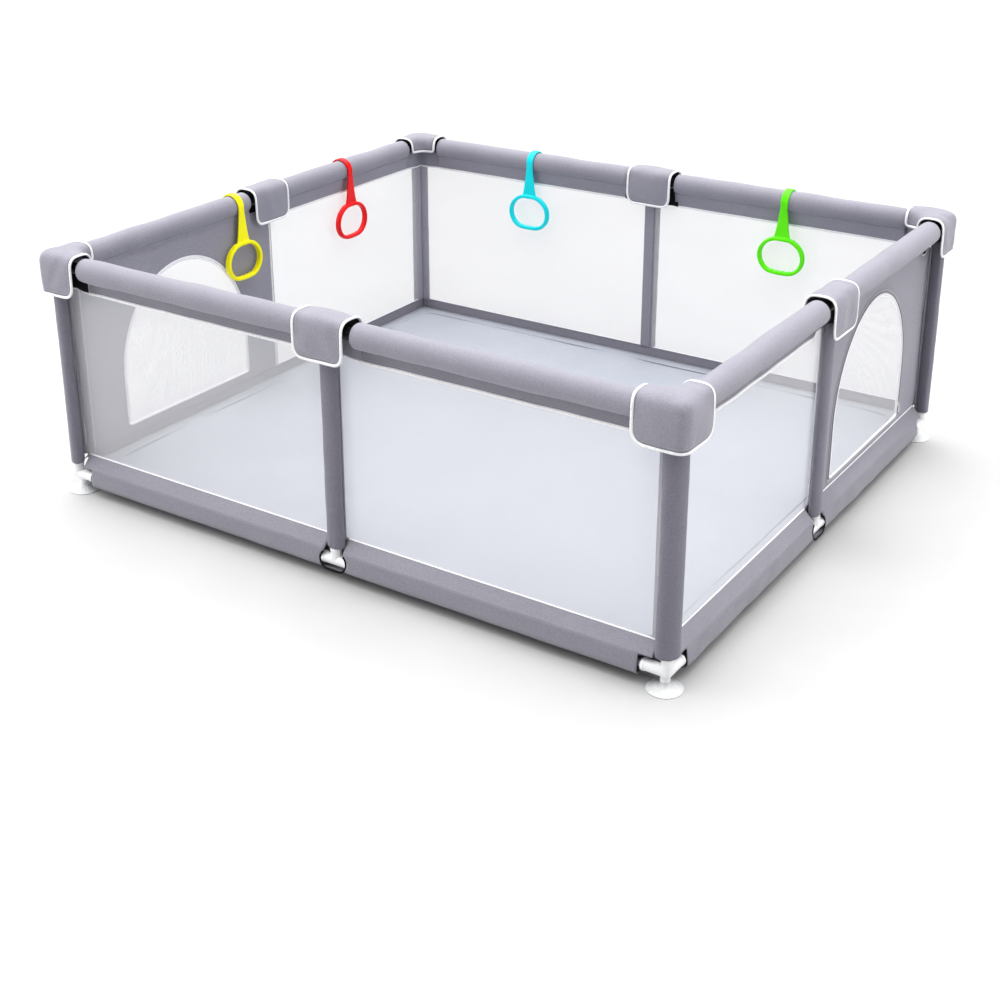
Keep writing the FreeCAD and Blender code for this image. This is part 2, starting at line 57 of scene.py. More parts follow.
RAIL_Z = middle("top_rail_tubes_long", 2)
LOW_RAIL_Z = middle("bottom_rail_tubes_long", 2)
TUBE_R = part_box("bottom_rail_tubes_long")[1][2] - LOW_RAIL_Z
HALF_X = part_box("post_tubes")[1][0] - TUBE_R
HALF_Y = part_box("post_tubes")[1][1] - TUBE_R
PAD_LOW, PAD_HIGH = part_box("rail_pad_front_left")
PAD_R = PAD_HIGH[2] - RAIL_Z
PAD_START = -PAD_HIGH[0]                    # from the middle post
PAD_MARGIN = HALF_X + PAD_LOW[0]            # from the corner post
SKIRT_Z = PAD_LOW[2]
DOOR_SKIRT_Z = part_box("rail_pad_left_front")[0][2]
COVER_LOW, COVER_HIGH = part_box("mid_cover_front")
COVER_HALF_LENGTH = COVER_HIGH[0]
COVER_HALF_WIDTH = (COVER_HIGH[1] - COVER_LOW[1]) / 2
COVER_TOP_Z = COVER_HIGH[2]
COVER_SPRING_Z = COVER_TOP_Z - COVER_HALF_WIDTH
COVER_BOTTOM_Z = COVER_LOW[2]
CAP_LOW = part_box("corner_cap_back_right")[0]
CAP_ARM = HALF_X - CAP_LOW[0]
CAP_BOTTOM_Z = CAP_LOW[2]
MESH_Y = -abs(middle("mesh_panel_front_right", 1) + HALF_Y)    # wall plane, inward of the post axes
HEM_LOW, HEM_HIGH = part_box("bottom_hem_front")
HEM_OUTER = -HEM_LOW[1] - HALF_Y
HEM_BOTTOM_Z = HEM_LOW[2]
HEM_TOP_Z = HEM_HIGH[2]
FLOOR_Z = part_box("floor_mat")[1][2]
SLEEVE_Z = [corner[2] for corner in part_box("mid_post_sleeve_front")]
DOOR_LOW, DOOR_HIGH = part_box("door_mesh_left")
DOOR_PLAY = 0.001                           # round the mesh door, inside its opening
ARCH_LEG = 0.154                            # straight sides of the opening, below its arch
ARCH_HALF = (DOOR_HIGH[1] - DOOR_LOW[1]) / 2 + DOOR_PLAY
ARCH_CENTRE = -middle("door_mesh_left", 1)
ARCH_BOTTOM_Z = DOOR_LOW[2] - DOOR_PLAY
ARCH_TOP_Z = DOOR_HIGH[2] + DOOR_PLAY
ARCH_SPRING_Z = ARCH_BOTTOM_Z + ARCH_LEG
CUP_R = 0.044
CUP_INSET = HALF_X + CUP_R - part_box("suction_cups")[1][0]
RING_LOW, RING_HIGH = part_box("pull_handle_cyan")

# ---- sizes of the soft work ----

CAP_CORNER = (0.040, 0.026)     # corner radius of a cap, at its inner and outer walls
CAP_INNER_DROP = 0.006          # inner flaps reach this far below the spring of the arch
FLAP_CORNER = 0.024             # rounded lower corners of the flaps
ARCH_POWER = 0.60               # 1 is a half circle over the rail, and less is boxier
CLOTH = 0.0016                  # thickness of the webs and the hems
FACE = 0.0012                   # from the wall plane to the outer face of what is sewn there
BINDING = (0.0042, 0.0030)      # half width and half thickness of the white binding
BINDING_LIFT = 0.0014           # the binding's middle stands this far off the cloth
PIPING_R = 0.0027
SEAM_INSET = 0.0105             # a row of stitches, from a sewn edge
TUCK = 0.0066                   # the cloth is in shade this near to its binding
ROLL_GROW = 0.006               # a roll reaches this far past the foam's end, in its sewn sleeve
FRONT_SLIDE = -0.006            # the front rolls have slid this far along their rail
CAP_WIDTH = 0.0385              # half width of a corner cap, outside
CAP_REACH = 0.0915              # length of its arms, from the post axis
FLARE = 0.009                   # how far the foot of a skirt hangs outward of the wall plane
STRIP = 0.032                   # width of each half of a corner strip
WEB_TOP_Z = RAIL_Z - 0.013      # the webs behind the covers end here, under the roll
CORNER_SLEEVE = (0.0300, 0.0195)    # half axes of a sleeve's oval
MID_SLEEVE = (0.0268, 0.0156)
SLEEVE_GAP = 0.0035             # between a sleeve and the hem cut out round it
CORNER_CUTOUT = 0.069           # the hem stops this far from the corner post's axis
MID_CUTOUT = (0.042, 0.025)     # half width and half height of the hole for a T connector
HEM_SHOULDER_Z = FLOOR_Z        # the outer face turns in towards the wall here
HEM_CORNER_R = 0.012
HEM_LEAN = 0.005                # the outer face leans in towards its top

SIDES = {
    "front": (180, HALF_Y, HALF_X),
    "back": (0, HALF_Y, HALF_X),
    "left": (90, HALF_X, HALF_Y),
    "right": (-90, HALF_X, HALF_Y),
}
HALVES = [
    ("front", 1, "front_left"), ("front", -1, "front_right"),
    ("back", -1, "back_left"), ("back", 1, "back_right"),
    ("left", -1, "left_front"), ("left", 1, "left_rear"),
    ("right", 1, "right_front"), ("right", -1, "right_rear"),
]
DOOR_HALVES = ("left_front", "right_rear")
CORNERS = {
    "back_right": (0, HALF_X, HALF_Y),
    "back_left": (90, -HALF_X, HALF_Y),
    "front_left": (180, -HALF_X, -HALF_Y),
    "front_right": (-90, HALF_X, -HALF_Y),
}
HANDLES = {"yellow": "left", "red": "left", "cyan": "back", "green": "back"}


# ---- places ----

def turned(points, degrees, shift):
    """Turn points about Z and then shift them."""
    angle = math.radians(degrees)
    c, s = math.cos(angle), math.sin(angle)
    x, y, z = points[..., 0], points[..., 1], points[..., 2]
    return np.stack([c * x - s * y + shift[0], s * x + c * y + shift[1], z], axis=-1)


def on_side(points, side):
    """From a side's frame (along it, outward from the post axes, up) to the pen."""
    angle, distance, _ = SIDES[side]
    return turned(np.asarray(points) + [0, distance, 0], angle, (0, 0))


def side_normal(side):
    """The outward direction of a side."""
    angle = math.radians(SIDES[side][0])
    return np.array([-math.sin(angle), math.cos(angle), 0.0])


def on_corner(points, corner):
    """From a corner's frame, whose rails run along -X and -Y, to the pen."""
    angle, x, y = CORNERS[corner]
    return turned(np.asarray(points), angle, (x, y))


def smooth(x):
    """A soft step from 0 to 1."""
    x = np.clip(x, 0, 1)
    return x * x * (3 - 2 * x)


def wall_y(t, z, half):
    """The wall plane, which leans outward under a rail and comes back in behind each post."""
    lean = smooth((np.abs(t) - 0.030) / 0.045) * smooth((half - np.abs(t) - 0.045) / 0.045)
    return MESH_Y + FLARE * lean * np.clip((z - HEM_TOP_Z) / (SKIRT_Z - HEM_TOP_Z), 0, 1)


def stack(*values):
    """Points from their coordinates, as grids or plain numbers."""
    return np.stack(np.broadcast_arrays(*values), axis=-1).astype(float)


def ripple(points, wavelength, seed, waves=7):
    """Smooth noise of about one unit: a sum of plane waves."""
    rng = np.random.default_rng(seed)
    total = np.zeros(points.shape[:-1])
    for _ in range(waves):
        direction = rng.normal(size=3)
        direction /= np.linalg.norm(direction)
        size = 2 * math.pi / (wavelength * rng.uniform(0.7, 1.6))
        total += np.sin(points @ (direction * size) + rng.uniform(0, 2 * math.pi))
    return total / math.sqrt(waves / 2)


# ---- meshes ----

def lengths(points, axis):
    """Distance along an axis of a grid, averaged over the other axis."""
    steps = np.linalg.norm(np.diff(points, axis=axis), axis=-1)
    mean = steps.mean(axis=1 - axis)
    return np.concatenate([[0], np.cumsum(mean)])


def make_mesh(name, vertices, faces, uvs, material, edge=None):
    """A smooth mesh. uvs and edge give one value per vertex, or per face corner as a function."""
    mesh = bpy.data.meshes.new(name)
    mesh.from_pydata([tuple(v) for v in vertices], [], faces)
    layer = mesh.uv_layers.new(name="cloth")
    corners = np.array([i for f in uvs for i in f], dtype=float)
    layer.data.foreach_set("uv", corners.ravel())
    mesh.polygons.foreach_set("use_smooth", [True] * len(mesh.polygons))
    mesh.materials.append(material)
    if edge is not None:
        attribute = mesh.attributes.new("edge", "FLOAT", "POINT")
        attribute.data.foreach_set("value", np.asarray(edge, dtype=float).ravel())
    mesh.update()
    obj = bpy.data.objects.new(name, mesh)
    bpy.context.scene.collection.objects.link(obj)
    return obj


def grid(name, points, material, wrap=False, edge=None):
    """A grid of quads. wrap closes it across its columns."""
    rows, cols = points.shape[:2]
    u, v = lengths(points, 0), lengths(points, 1)
    last = v[-1] + float(np.linalg.norm(points[:, -1] - points[:, 0], axis=-1).mean())
    faces, uvs = [], []
    for i in range(rows - 1):
        for j in range(cols if wrap else cols - 1):
            k = (j + 1) % cols
            faces.append((i * cols + j, (i + 1) * cols + j, (i + 1) * cols + k, i * cols + k))
            far = v[k] if k else last
            uvs.append(((u[i], v[j]), (u[i + 1], v[j]), (u[i + 1], far), (u[i], far)))
    return make_mesh(name, points.reshape(-1, 3), faces, uvs, material, edge)


def frames(path, closed, facing=None):
    """Two unit vectors across the path at each of its points."""
    if closed:
        tangent = np.roll(path, -1, axis=0) - np.roll(path, 1, axis=0)
    else:
        tangent = np.gradient(path, axis=0)
    tangent /= np.linalg.norm(tangent, axis=1)[:, None]
    if facing is None:
        lean = np.array([0.31, 0.23, 0.92])
        first = np.zeros_like(path)
        held = np.cross(tangent[0], lean)
        for i, along in enumerate(tangent):
            held = held - along * (held @ along)
            held /= np.linalg.norm(held)
            first[i] = held
        if closed:
            turn = math.atan2(np.cross(first[-1], first[0]) @ tangent[0], first[-1] @ first[0])
            angle = np.linspace(0, turn, len(path))[:, None]
            first = first * np.cos(angle) + np.cross(tangent, first) * np.sin(angle)
    else:
        first = facing - tangent * np.sum(facing * tangent, axis=1)[:, None]
        first /= np.linalg.norm(first, axis=1)[:, None]
    return first, np.cross(tangent, first)


def tube(name, path, material, radius=PIPING_R, wide=None, closed=False, facing=None, sides=10):
    """A cord along a path. radius is along facing, and wide is across it."""
    path = np.asarray(path, dtype=float)
    first, second = frames(path, closed, facing)
    wide = radius if wide is None else wide
    angle = np.arange(sides) * 2 * math.pi / sides
    ring = (first[:, None] * np.cos(angle)[None, :, None] * radius
            + second[:, None] * np.sin(angle)[None, :, None] * wide)
    points = path[:, None] + ring
    if closed:
        points = np.concatenate([points, points[:1]])
        obj = grid(name, points, material, wrap=True)
        weld(obj)
        return obj
    cap = 0.5
    start, end = path[0] + (points[0] - path[0]) * cap, path[-1] + (points[-1] - path[-1]) * cap
    lead = (path[0] - path[1]) / np.linalg.norm(path[0] - path[1]) * radius * cap
    trail = (path[-1] - path[-2]) / np.linalg.norm(path[-1] - path[-2]) * radius * cap
    tips = [np.repeat((path[0] + lead)[None], sides, 0), start + lead]
    tails = [end + trail, np.repeat((path[-1] + trail)[None], sides, 0)]
    obj = grid(name, np.concatenate([tips, points, tails]), material, wrap=True)
    weld(obj)
    return obj


def weld(obj, distance=1e-6):
    """Join vertices that lie on each other, as at a closed end."""
    bm = bmesh.new()
    bm.from_mesh(obj.data)
    bmesh.ops.remove_doubles(bm, verts=bm.verts, dist=distance)
    bmesh.ops.recalc_face_normals(bm, faces=bm.faces)
    bm.to_mesh(obj.data)
    bm.free()


def cut_grid(name, across, up, step, distance, place, material, edge=None):
    """A flat-cut sheet over across x up, kept where distance is positive.

    Its rim is moved onto distance = 0. place turns (across, up) into points, and the UV map is
    (across, up) itself.
    """
    us = np.linspace(*across, max(2, round((across[1] - across[0]) / step) + 1))
    vs = np.linspace(*up, max(2, round((up[1] - up[0]) / step) + 1))
    flat = stack(*np.meshgrid(us, vs, indexing="ij"))
    rows, cols = flat.shape[:2]
    centres = (flat[1:, 1:] + flat[:-1, :-1]) / 2
    kept = distance(centres) > 0
    touch = np.zeros((rows, cols), int)
    drop = np.zeros((rows, cols), int)
    for di in (0, 1):
        for dj in (0, 1):
            touch[di:rows - 1 + di, dj:cols - 1 + dj] += kept
            drop[di:rows - 1 + di, dj:cols - 1 + dj] += ~kept
    rim = (touch > 0) & (drop > 0)
    moved = flat[rim]
    small = step * 0.01
    for _ in range(4):
        here = distance(moved)
        slope = stack(distance(moved + [small, 0]) - here, distance(moved + [0, small]) - here) / small
        moved = moved - slope * (here / np.maximum((slope ** 2).sum(-1), 1e-6))[:, None]
        moved = np.clip(moved, [across[0], up[0]], [across[1], up[1]])
    flat[rim] = moved
    used = touch > 0
    index = -np.ones((rows, cols), int)
    index[used] = np.arange(used.sum())
    faces, uvs = [], []
    for i, j in zip(*np.nonzero(kept)):
        corners = [(i, j), (i + 1, j), (i + 1, j + 1), (i, j + 1)]
        faces.append(tuple(int(index[c]) for c in corners))
        uvs.append(tuple(tuple(flat[c]) for c in corners))
    cut = flat[used]
    return make_mesh(name, place(cut), faces, uvs, material, None if edge is None else edge(cut))


def box_distance(p, centre, half, radius):
    """Signed distance outside a rounded rectangle."""
    q = np.abs(p - np.asarray(centre)) - (np.asarray(half) - radius)
    outside = np.linalg.norm(np.maximum(q, 0), axis=-1)
    return outside + np.minimum(q.max(axis=-1), 0) - radius


def arch_distance(p, grow=0.0):
    """Distance outside the door opening, in a door panel's (along, up)."""
    half = ARCH_HALF + grow
    rise = ARCH_TOP_Z - ARCH_SPRING_Z + grow
    t, z = p[..., 0] + ARCH_CENTRE, p[..., 1] - ARCH_SPRING_Z
    oval = (np.sqrt((t / half) ** 2 + (z / rise) ** 2) - 1) * half
    foot = np.maximum(np.abs(t) - half, ARCH_BOTTOM_Z - grow - p[..., 1])
    return np.where(z > 0, oval, foot)


def arch_path(grow, spacing=0.010, closed=True):
    """The door opening's outline, offset outward, as (along, up) points."""
    half = ARCH_HALF + grow
    low = ARCH_BOTTOM_Z - grow
    rise = ARCH_TOP_Z - ARCH_SPRING_Z + grow
    round_r = 0.010
    legs = np.arange(low + round_r, ARCH_SPRING_Z, spacing)
    right = [(half, z) for z in legs]
    top = [(half * math.cos(a), ARCH_SPRING_Z + rise * math.sin(a)) for a in np.linspace(0, math.pi, 90)]
    left = [(-half, z) for z in legs[::-1]]
    points = right + top + left
    if closed:
        turn = np.linspace(0, math.pi / 2, 6)
        corner_left = [(-half + round_r - round_r * math.cos(a), low + round_r - round_r * math.sin(a))
                       for a in turn[1:]]
        foot = [(t, low) for t in np.arange(-half + round_r + spacing, half - round_r, spacing)]
        corner_right = [(half - round_r + round_r * math.sin(a), low + round_r - round_r * math.cos(a))
                        for a in turn[:-1]]
        points += corner_left + foot + corner_right
    return np.array(points) + [-ARCH_CENTRE, 0]


# ---- modifiers ----

def thicken(obj, thickness, offset=0.0, inside=None):
    """Give a sheet its thickness. inside is a second material for its inner face."""
    solid = obj.modifiers.new("thickness", "SOLIDIFY")
    solid.thickness = thickness
    solid.offset = offset
    if inside is not None:
        obj.data.materials.append(inside)
        solid.material_offset = 1
        solid.material_offset_rim = 0


def smoothed(obj, levels=1):
    sub = obj.modifiers.new("smooth", "SUBSURF")
    sub.levels = levels
    sub.render_levels = levels


def piece(obj, body, slot, *nodes):
    """Name what a piece rides on and the nodes it stands for, which are hidden. slot, its finish, is not used."""
    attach(obj, body)
    if nodes:
        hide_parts(*nodes)
    return obj


# ---- materials ----

def srgb(*values):
    """Linear colour from 0-255 sRGB."""
    out = []
    for value in values:
        c = value / 255
        out.append(c / 12.92 if c <= 0.04045 else ((c + 0.055) / 1.055) ** 2.4)
    return (*out, 1.0)


class Nodes:
    """A short way to write a node tree."""

    def __init__(self, name):
        self.material = bpy.data.materials.new(name)
        self.material.use_nodes = True
        self.tree = self.material.node_tree
        self.shader = self.tree.nodes["Principled BSDF"]

    def add(self, kind, **settings):
        node = self.tree.nodes.new(kind)
        for key, value in settings.items():
            setattr(node, key, value)
        return node

    def link(self, source, target):
        self.tree.links.new(source, target)

    def math(self, operation, a, b=None, c=None):
        node = self.add("ShaderNodeMath", operation=operation)
        for socket, value in zip(node.inputs, (a, b, c)):
            if value is None:
                continue
            if isinstance(value, (int, float)):
                socket.default_value = value
            else:
                self.link(value, socket)
        return node.outputs[0]

    def noise(self, scale, detail=2.0, coordinates=None):
        node = self.add("ShaderNodeTexNoise")
        node.inputs["Scale"].default_value = scale
        node.inputs["Detail"].default_value = detail
        if coordinates is None:
            coordinates = self.add("ShaderNodeTexCoord").outputs["Object"]
        self.link(coordinates, node.inputs["Vector"])
        return node.outputs["Fac"]

    def ramp(self, value, stops):
        node = self.add("ShaderNodeValToRGB")
        elements = node.color_ramp.elements
        while len(elements) < len(stops):
            elements.new(0.5)
        for element, (place, colour) in zip(elements, stops):
            element.position = place
            element.color = colour
        self.link(value, node.inputs["Fac"])
        return node.outputs["Color"]

    def mix(self, factor, a, b, blend="MIX"):
        node = self.add("ShaderNodeMix", data_type="RGBA", blend_type=blend)
        for socket, value in ((node.inputs[0], factor), (node.inputs[6], a), (node.inputs[7], b)):
            if isinstance(value, (int, float, tuple)):
                socket.default_value = value
            else:
                self.link(value, socket)
        return node.outputs[2]

    def bump(self, height, strength, distance):
        node = self.add("ShaderNodeBump")
        node.inputs["Strength"].default_value = strength
        node.inputs["Distance"].default_value = distance
        self.link(height, node.inputs["Height"])
        self.link(node.outputs["Normal"], self.shader.inputs["Normal"])

    def colour(self, pattern, dark, light):
        """The shader's colour, from dark to light with a pattern."""
        self.link(self.ramp(pattern, [(0.3, dark), (0.7, light)]), self.shader.inputs["Base Color"])

    def rough(self, pattern, spread, middle):
        """The shader's roughness, from middle - spread / 2 to middle + spread / 2 with a pattern."""
        value = self.math("MULTIPLY_ADD", pattern, spread, middle - spread / 2)
        self.link(value, self.shader.inputs["Roughness"])

    def set(self, **values):
        for key, value in values.items():
            self.shader.inputs[key.replace("_", " ")].default_value = value


def shade(colour, factor):
    return tuple(c * factor for c in colour[:3]) + (1.0,)


def woven(n, pitch):
    """A plain weave's height from the cloth's own UV map."""
    uv = n.add("ShaderNodeUVMap", uv_map="cloth").outputs["UV"]
    split = n.add("ShaderNodeSeparateXYZ")
    n.link(uv, split.inputs[0])
    turn = 2 * math.pi / pitch
    across = n.math("SINE", n.math("MULTIPLY", split.outputs["X"], turn))
    up = n.math("SINE", n.math("MULTIPLY", split.outputs["Y"], turn))
    return n.math("MULTIPLY_ADD", n.math("MULTIPLY", across, up), 0.5, 0.5), split


def fabric(name, colour, pitch=0.0012, speckle=0.16, sheen=0.25, stitched_and_groove_shaded=False, tuck_shaded=False, rough=0.72,
           specular=0.35):
    """Woven polyester: a fine weave, fibre speckle, uneven yarn and slow shading.

    The stitched option adds a seam by each edge, with painted shade along its stitch line, and the
    tucked option adds a band of painted shade where the cloth goes under its binding.
    """
    n = Nodes(name)
    weave, split = woven(n, pitch)
    fibre = n.noise(900.0, 3.0)
    cloud = n.noise(7.0, 3.0)
    mottle = n.math("MULTIPLY_ADD", fibre, 0.55, n.math("MULTIPLY", weave, 0.45))
    base = n.ramp(mottle, [(0.25, shade(colour, 1 - speckle)), (0.75, shade(colour, 1 + speckle))])
    slow = n.ramp(cloud, [(0.3, (0.93, 0.93, 0.94, 1)), (0.7, (1.0, 1.0, 1.0, 1))])
    slub = n.ramp(n.noise(240.0, 2.0), [(0.38, (0.90, 0.90, 0.91, 1)), (0.62, (1.03, 1.03, 1.03, 1))])
    tone = n.mix(1.0, n.mix(1.0, base, slow, "MULTIPLY"), slub, "MULTIPLY")
    height = n.math("MULTIPLY_ADD", weave, 0.6, n.math("MULTIPLY", fibre, 0.4))
    if stitched_and_groove_shaded:
        edge = n.add("ShaderNodeAttribute", attribute_name="edge").outputs["Fac"]
        off = n.math("ABSOLUTE", n.math("SUBTRACT", edge, SEAM_INSET))
        along = n.math("ADD", split.outputs["X"], split.outputs["Y"])
        stitch = n.math("FRACT", n.math("MULTIPLY", along, 1 / 0.0042))
        thread = n.math("MULTIPLY", n.math("LESS_THAN", off, 0.0006), n.math("LESS_THAN", stitch, 0.72))
        # Painted shade: the cloth darkens along each stitch line, as in a seam's groove, which the bump also sinks.
        seam_dip_and_shade = n.math("LESS_THAN", off, 0.0022)
        tone = n.mix(n.math("MULTIPLY", seam_dip_and_shade, 0.35), tone, shade(colour, 0.55))
        tone = n.mix(thread, tone, shade(colour, 1.5))
        # Painted shade: a dark band in the cloth where it goes under its binding.
        if tuck_shaded:
            tuck_shade_mask = n.math("LESS_THAN", edge, TUCK)
            tone = n.mix(n.math("MULTIPLY", tuck_shade_mask, 0.6), tone, shade(colour, 0.35))
        height = n.math("ADD", n.math("SUBTRACT", height, n.math("MULTIPLY", seam_dip_and_shade, 1.6)),
                        n.math("MULTIPLY", thread, 2.0))
    n.link(tone, n.shader.inputs["Base Color"])
    n.rough(fibre, 0.18, rough)
    n.bump(height, 0.55, 0.0004)
    n.set(Sheen_Weight=sheen, Sheen_Roughness=0.45, Specular_IOR_Level=specular)
    return n.material


def net(name, colour, pitch=0.0030, open_share=0.5):
    """Knitted net with round holes in rows that step by half a hole."""
    n = Nodes(name)
    uv = n.add("ShaderNodeUVMap", uv_map="cloth").outputs["UV"]
    split = n.add("ShaderNodeSeparateXYZ")
    n.link(uv, split.inputs[0])
    stray = [n.math("MULTIPLY", n.math("SUBTRACT", n.noise(scale, 1.0, uv), 0.5), pitch * 1.1)
             for scale in (130.0, 155.0)]
    x = n.math("ADD", split.outputs["X"], stray[0])
    y = n.math("ADD", split.outputs["Y"], stray[1])
    total = None
    for degrees in (0, 60, 120):
        a = math.radians(degrees)
        size = 4 * math.pi / (pitch * math.sqrt(3))
        run = n.math("MULTIPLY", x, math.cos(a) * size)
        wave = n.math("COSINE", n.math("ADD", run, n.math("MULTIPLY", y, math.sin(a) * size)))
        total = wave if total is None else n.math("ADD", total, wave)
    # The sum runs from -1.5 between the holes to 3 in their middles.
    level = np.interp(open_share, [0.0, 0.1, 0.3, 0.5, 0.7, 1.0], [3.0, 1.9, 0.75, -0.05, -0.65, -1.5])
    solid = n.math("SUBTRACT", 1.0, n.math("GREATER_THAN", total, float(level)))
    fibre = n.noise(1400.0, 2.0)
    n.colour(fibre, shade(colour, 0.93), colour)
    n.link(solid, n.shader.inputs["Alpha"])
    n.rough(fibre, 0.2, 0.65)
    n.bump(n.math("MULTIPLY", total, -0.3), 0.5, 0.0005)
    n.set(Sheen_Weight=0.15, Specular_IOR_Level=0.3)
    return n.material


def plastic(name, colour, rough=0.34, grain=0.05, scale=260.0, coat=0.0, specular=0.5):
    """Moulded plastic: a faint grain, slow unevenness in gloss and slightly deeper colour in places."""
    n = Nodes(name)
    fine = n.noise(scale * 4, 2.0)
    slow = n.noise(14.0, 3.0)
    n.colour(slow, shade(colour, 0.94), colour)
    n.rough(slow, 0.12, rough)
    n.bump(fine, grain, 0.0003)
    n.set(Coat_Weight=coat, Coat_Roughness=0.2, Specular_IOR_Level=specular)
    return n.material


def metal(name, colour, rough):
    """Drawn steel with a faint grain."""
    n = Nodes(name)
    grain = n.noise(500.0, 4.0)
    n.colour(grain, shade(colour, 0.85), colour)
    n.rough(grain, 0.2, rough)
    n.bump(grain, 0.15, 0.0002)
    n.set(Metallic=1.0)
    return n.material


def rubber(name, colour):
    """Clear soft rubber, milky where it is thick."""
    n = Nodes(name)
    slow = n.noise(60.0, 3.0)
    n.colour(slow, shade(colour, 0.9), colour)
    n.rough(slow, 0.15, 0.255)
    n.bump(slow, 0.1, 0.0006)
    n.set(Transmission_Weight=0.30, IOR=1.41, Specular_IOR_Level=0.5)
    return n.material


GREY = srgb(146, 144, 155)
SLEEVE_GREY = srgb(122, 120, 132)
HEM_GREY = srgb(140, 138, 148)
STRIP_GREY = srgb(172, 170, 180)
FLOOR_GREY = srgb(162, 166, 176)
WHITE = srgb(251, 251, 252)
FLOOR_FINISH = {"pitch": 0.0014, "speckle": 0.06, "sheen": 0.1, "rough": 0.55}
HANDLE_COLOURS = {"yellow": (255, 246, 0), "red": (240, 0, 8), "cyan": (0, 226, 236), "green": (96, 240, 0)}
M = {
    "fabric": fabric("grey_oxford", GREY),
    "sewn": fabric("grey_oxford_sewn", GREY, stitched_and_groove_shaded=True),
    "cover": fabric("cover_oxford", GREY, stitched_and_groove_shaded=True, tuck_shaded=True),
    "strip": fabric("strip_oxford", STRIP_GREY, stitched_and_groove_shaded=True),
    "hem": fabric("hem_oxford", HEM_GREY, stitched_and_groove_shaded=True),
    "zip_tape": fabric("zip_tape", srgb(168, 167, 176), pitch=0.0009, speckle=0.08),
    "sleeve": fabric("sleeve_oxford", SLEEVE_GREY, pitch=0.0011),
    # The black cloth is painted shade on the webs behind the covers; it also binds the hem's eyelets.
    "black_fabric": fabric("black_cloth_and_gap_shade", srgb(22, 21, 25), pitch=0.0016, sheen=0.0, specular=0.08),
    "lining": fabric("black_lining", srgb(30, 29, 33), pitch=0.0010, sheen=0.05),
    "binding": fabric("white_binding", WHITE, pitch=0.0010, speckle=0.03, sheen=0.1, rough=0.6),
    "floor": fabric("floor_cloth", FLOOR_GREY, **FLOOR_FINISH),
    "floor_sewn": fabric("floor_cloth_sewn", FLOOR_GREY, stitched_and_groove_shaded=True, **FLOOR_FINISH),
    "net": net("wall_net", srgb(226, 226, 229), open_share=0.68),
    "black_plastic": plastic("black_nylon", srgb(30, 30, 33), rough=0.42, grain=0.12),
    "white_plastic": plastic("white_nylon", srgb(244, 245, 247), rough=0.30),
    "steel": metal("steel_tube", (0.62, 0.62, 0.64, 1), 0.32),
    "zip_metal": metal("zip_metal", (0.72, 0.72, 0.74, 1), 0.28),
    "rubber": rubber("clear_rubber", srgb(247, 249, 250)),
}
for hue, values in HANDLE_COLOURS.items():
    M[hue] = plastic(hue + "_plastic", srgb(*values), rough=0.28, grain=0.04, specular=0.22)

# The CAD nodes that stay as they are, with the finish of each.
NODE_MATERIALS = {
    "steel": ["top_rail_tubes_long", "top_rail_tubes_short", "bottom_rail_tubes_long",
              "bottom_rail_tubes_short", "post_tubes"],
    "black_plastic": ["top_corner_connectors", "top_mid_connectors"],
    "white_plastic": ["bottom_corner_connectors", "bottom_mid_connectors"],
    "zip_metal": ["zip_slider_left", "zip_slider_right", "zip_pull_left", "zip_pull_right"],
}
for finish, nodes in NODE_MATERIALS.items():
    for node in nodes:
        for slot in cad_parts[node].material_slots:
            slot.material = M[finish]


# ---- cloth simulation ----

waiting = []        # (object, how far a point may move)


def swell(obj, pins, cap, pressure=4.0):
    """Ask for a pressure simulation of this piece. pins marks the vertices that stay."""
    group = obj.vertex_groups.new(name="pins")
    group.add([int(i) for i in np.nonzero(pins)[0]], 1.0, "REPLACE")
    waiting.append((obj, cap, pressure))


def places_of(mesh):
    """A mesh's vertices as an array."""
    flat = np.zeros(len(mesh.vertices) * 3)
    mesh.vertices.foreach_get("co", flat)
    return flat.reshape(-1, 3)


def run_simulations(last_frame=20):
    """Blow up every waiting piece at once, cap how far it moved and keep the result."""
    rest, blown = {}, {}
    for obj, cap, pressure in waiting:
        rest[obj.name] = places_of(obj.data)
        cloth = obj.modifiers.new("cloth", "CLOTH")
        obj.modifiers.move(len(obj.modifiers) - 1, 0)
        cloth.settings.vertex_group_mass = "pins"
        cloth.settings.use_pressure = True
        cloth.settings.uniform_pressure_force = pressure
        cloth.settings.effector_weights.gravity = 0.0
        cloth.settings.quality = 4
        cloth.settings.tension_stiffness = 12.0
        cloth.settings.compression_stiffness = 12.0
        cloth.settings.bending_stiffness = 0.4
        cloth.collision_settings.use_collision = False
        cloth.point_cache.frame_start = 1
        cloth.point_cache.frame_end = last_frame
    for step in range(1, last_frame + 1):
        bpy.context.scene.frame_set(step)
    graph = bpy.context.evaluated_depsgraph_get()
    for obj, cap, pressure in waiting:
        for other in obj.modifiers:
            other.show_viewport = other.type == "CLOTH"
    graph.update()
    for obj, cap, pressure in waiting:
        blown[obj.name] = places_of(obj.evaluated_get(graph).data)
    for obj, cap, pressure in waiting:
        move = blown[obj.name] - rest[obj.name]
        far = np.linalg.norm(move, axis=1)
        print("cloth", obj.name, "moved up to", round(float(far.max()) * 1000, 1), "mm")
        move *= (np.minimum(far, cap) / np.maximum(far, 1e-9))[:, None]
        obj.modifiers.remove(obj.modifiers["cloth"])
        for other in obj.modifiers:
            other.show_viewport = True
        obj.data.vertices.foreach_set("co", (rest[obj.name] + move).ravel())
        obj.data.update()
    bpy.context.scene.frame_set(1)


# ---- padded rolls and their skirts ----

def pad_span(side, sign):
    slide = sign * FRONT_SLIDE if side == "front" else 0.0
    return PAD_START - ROLL_GROW + slide, SIDES[side][2] - PAD_MARGIN + ROLL_GROW + slide


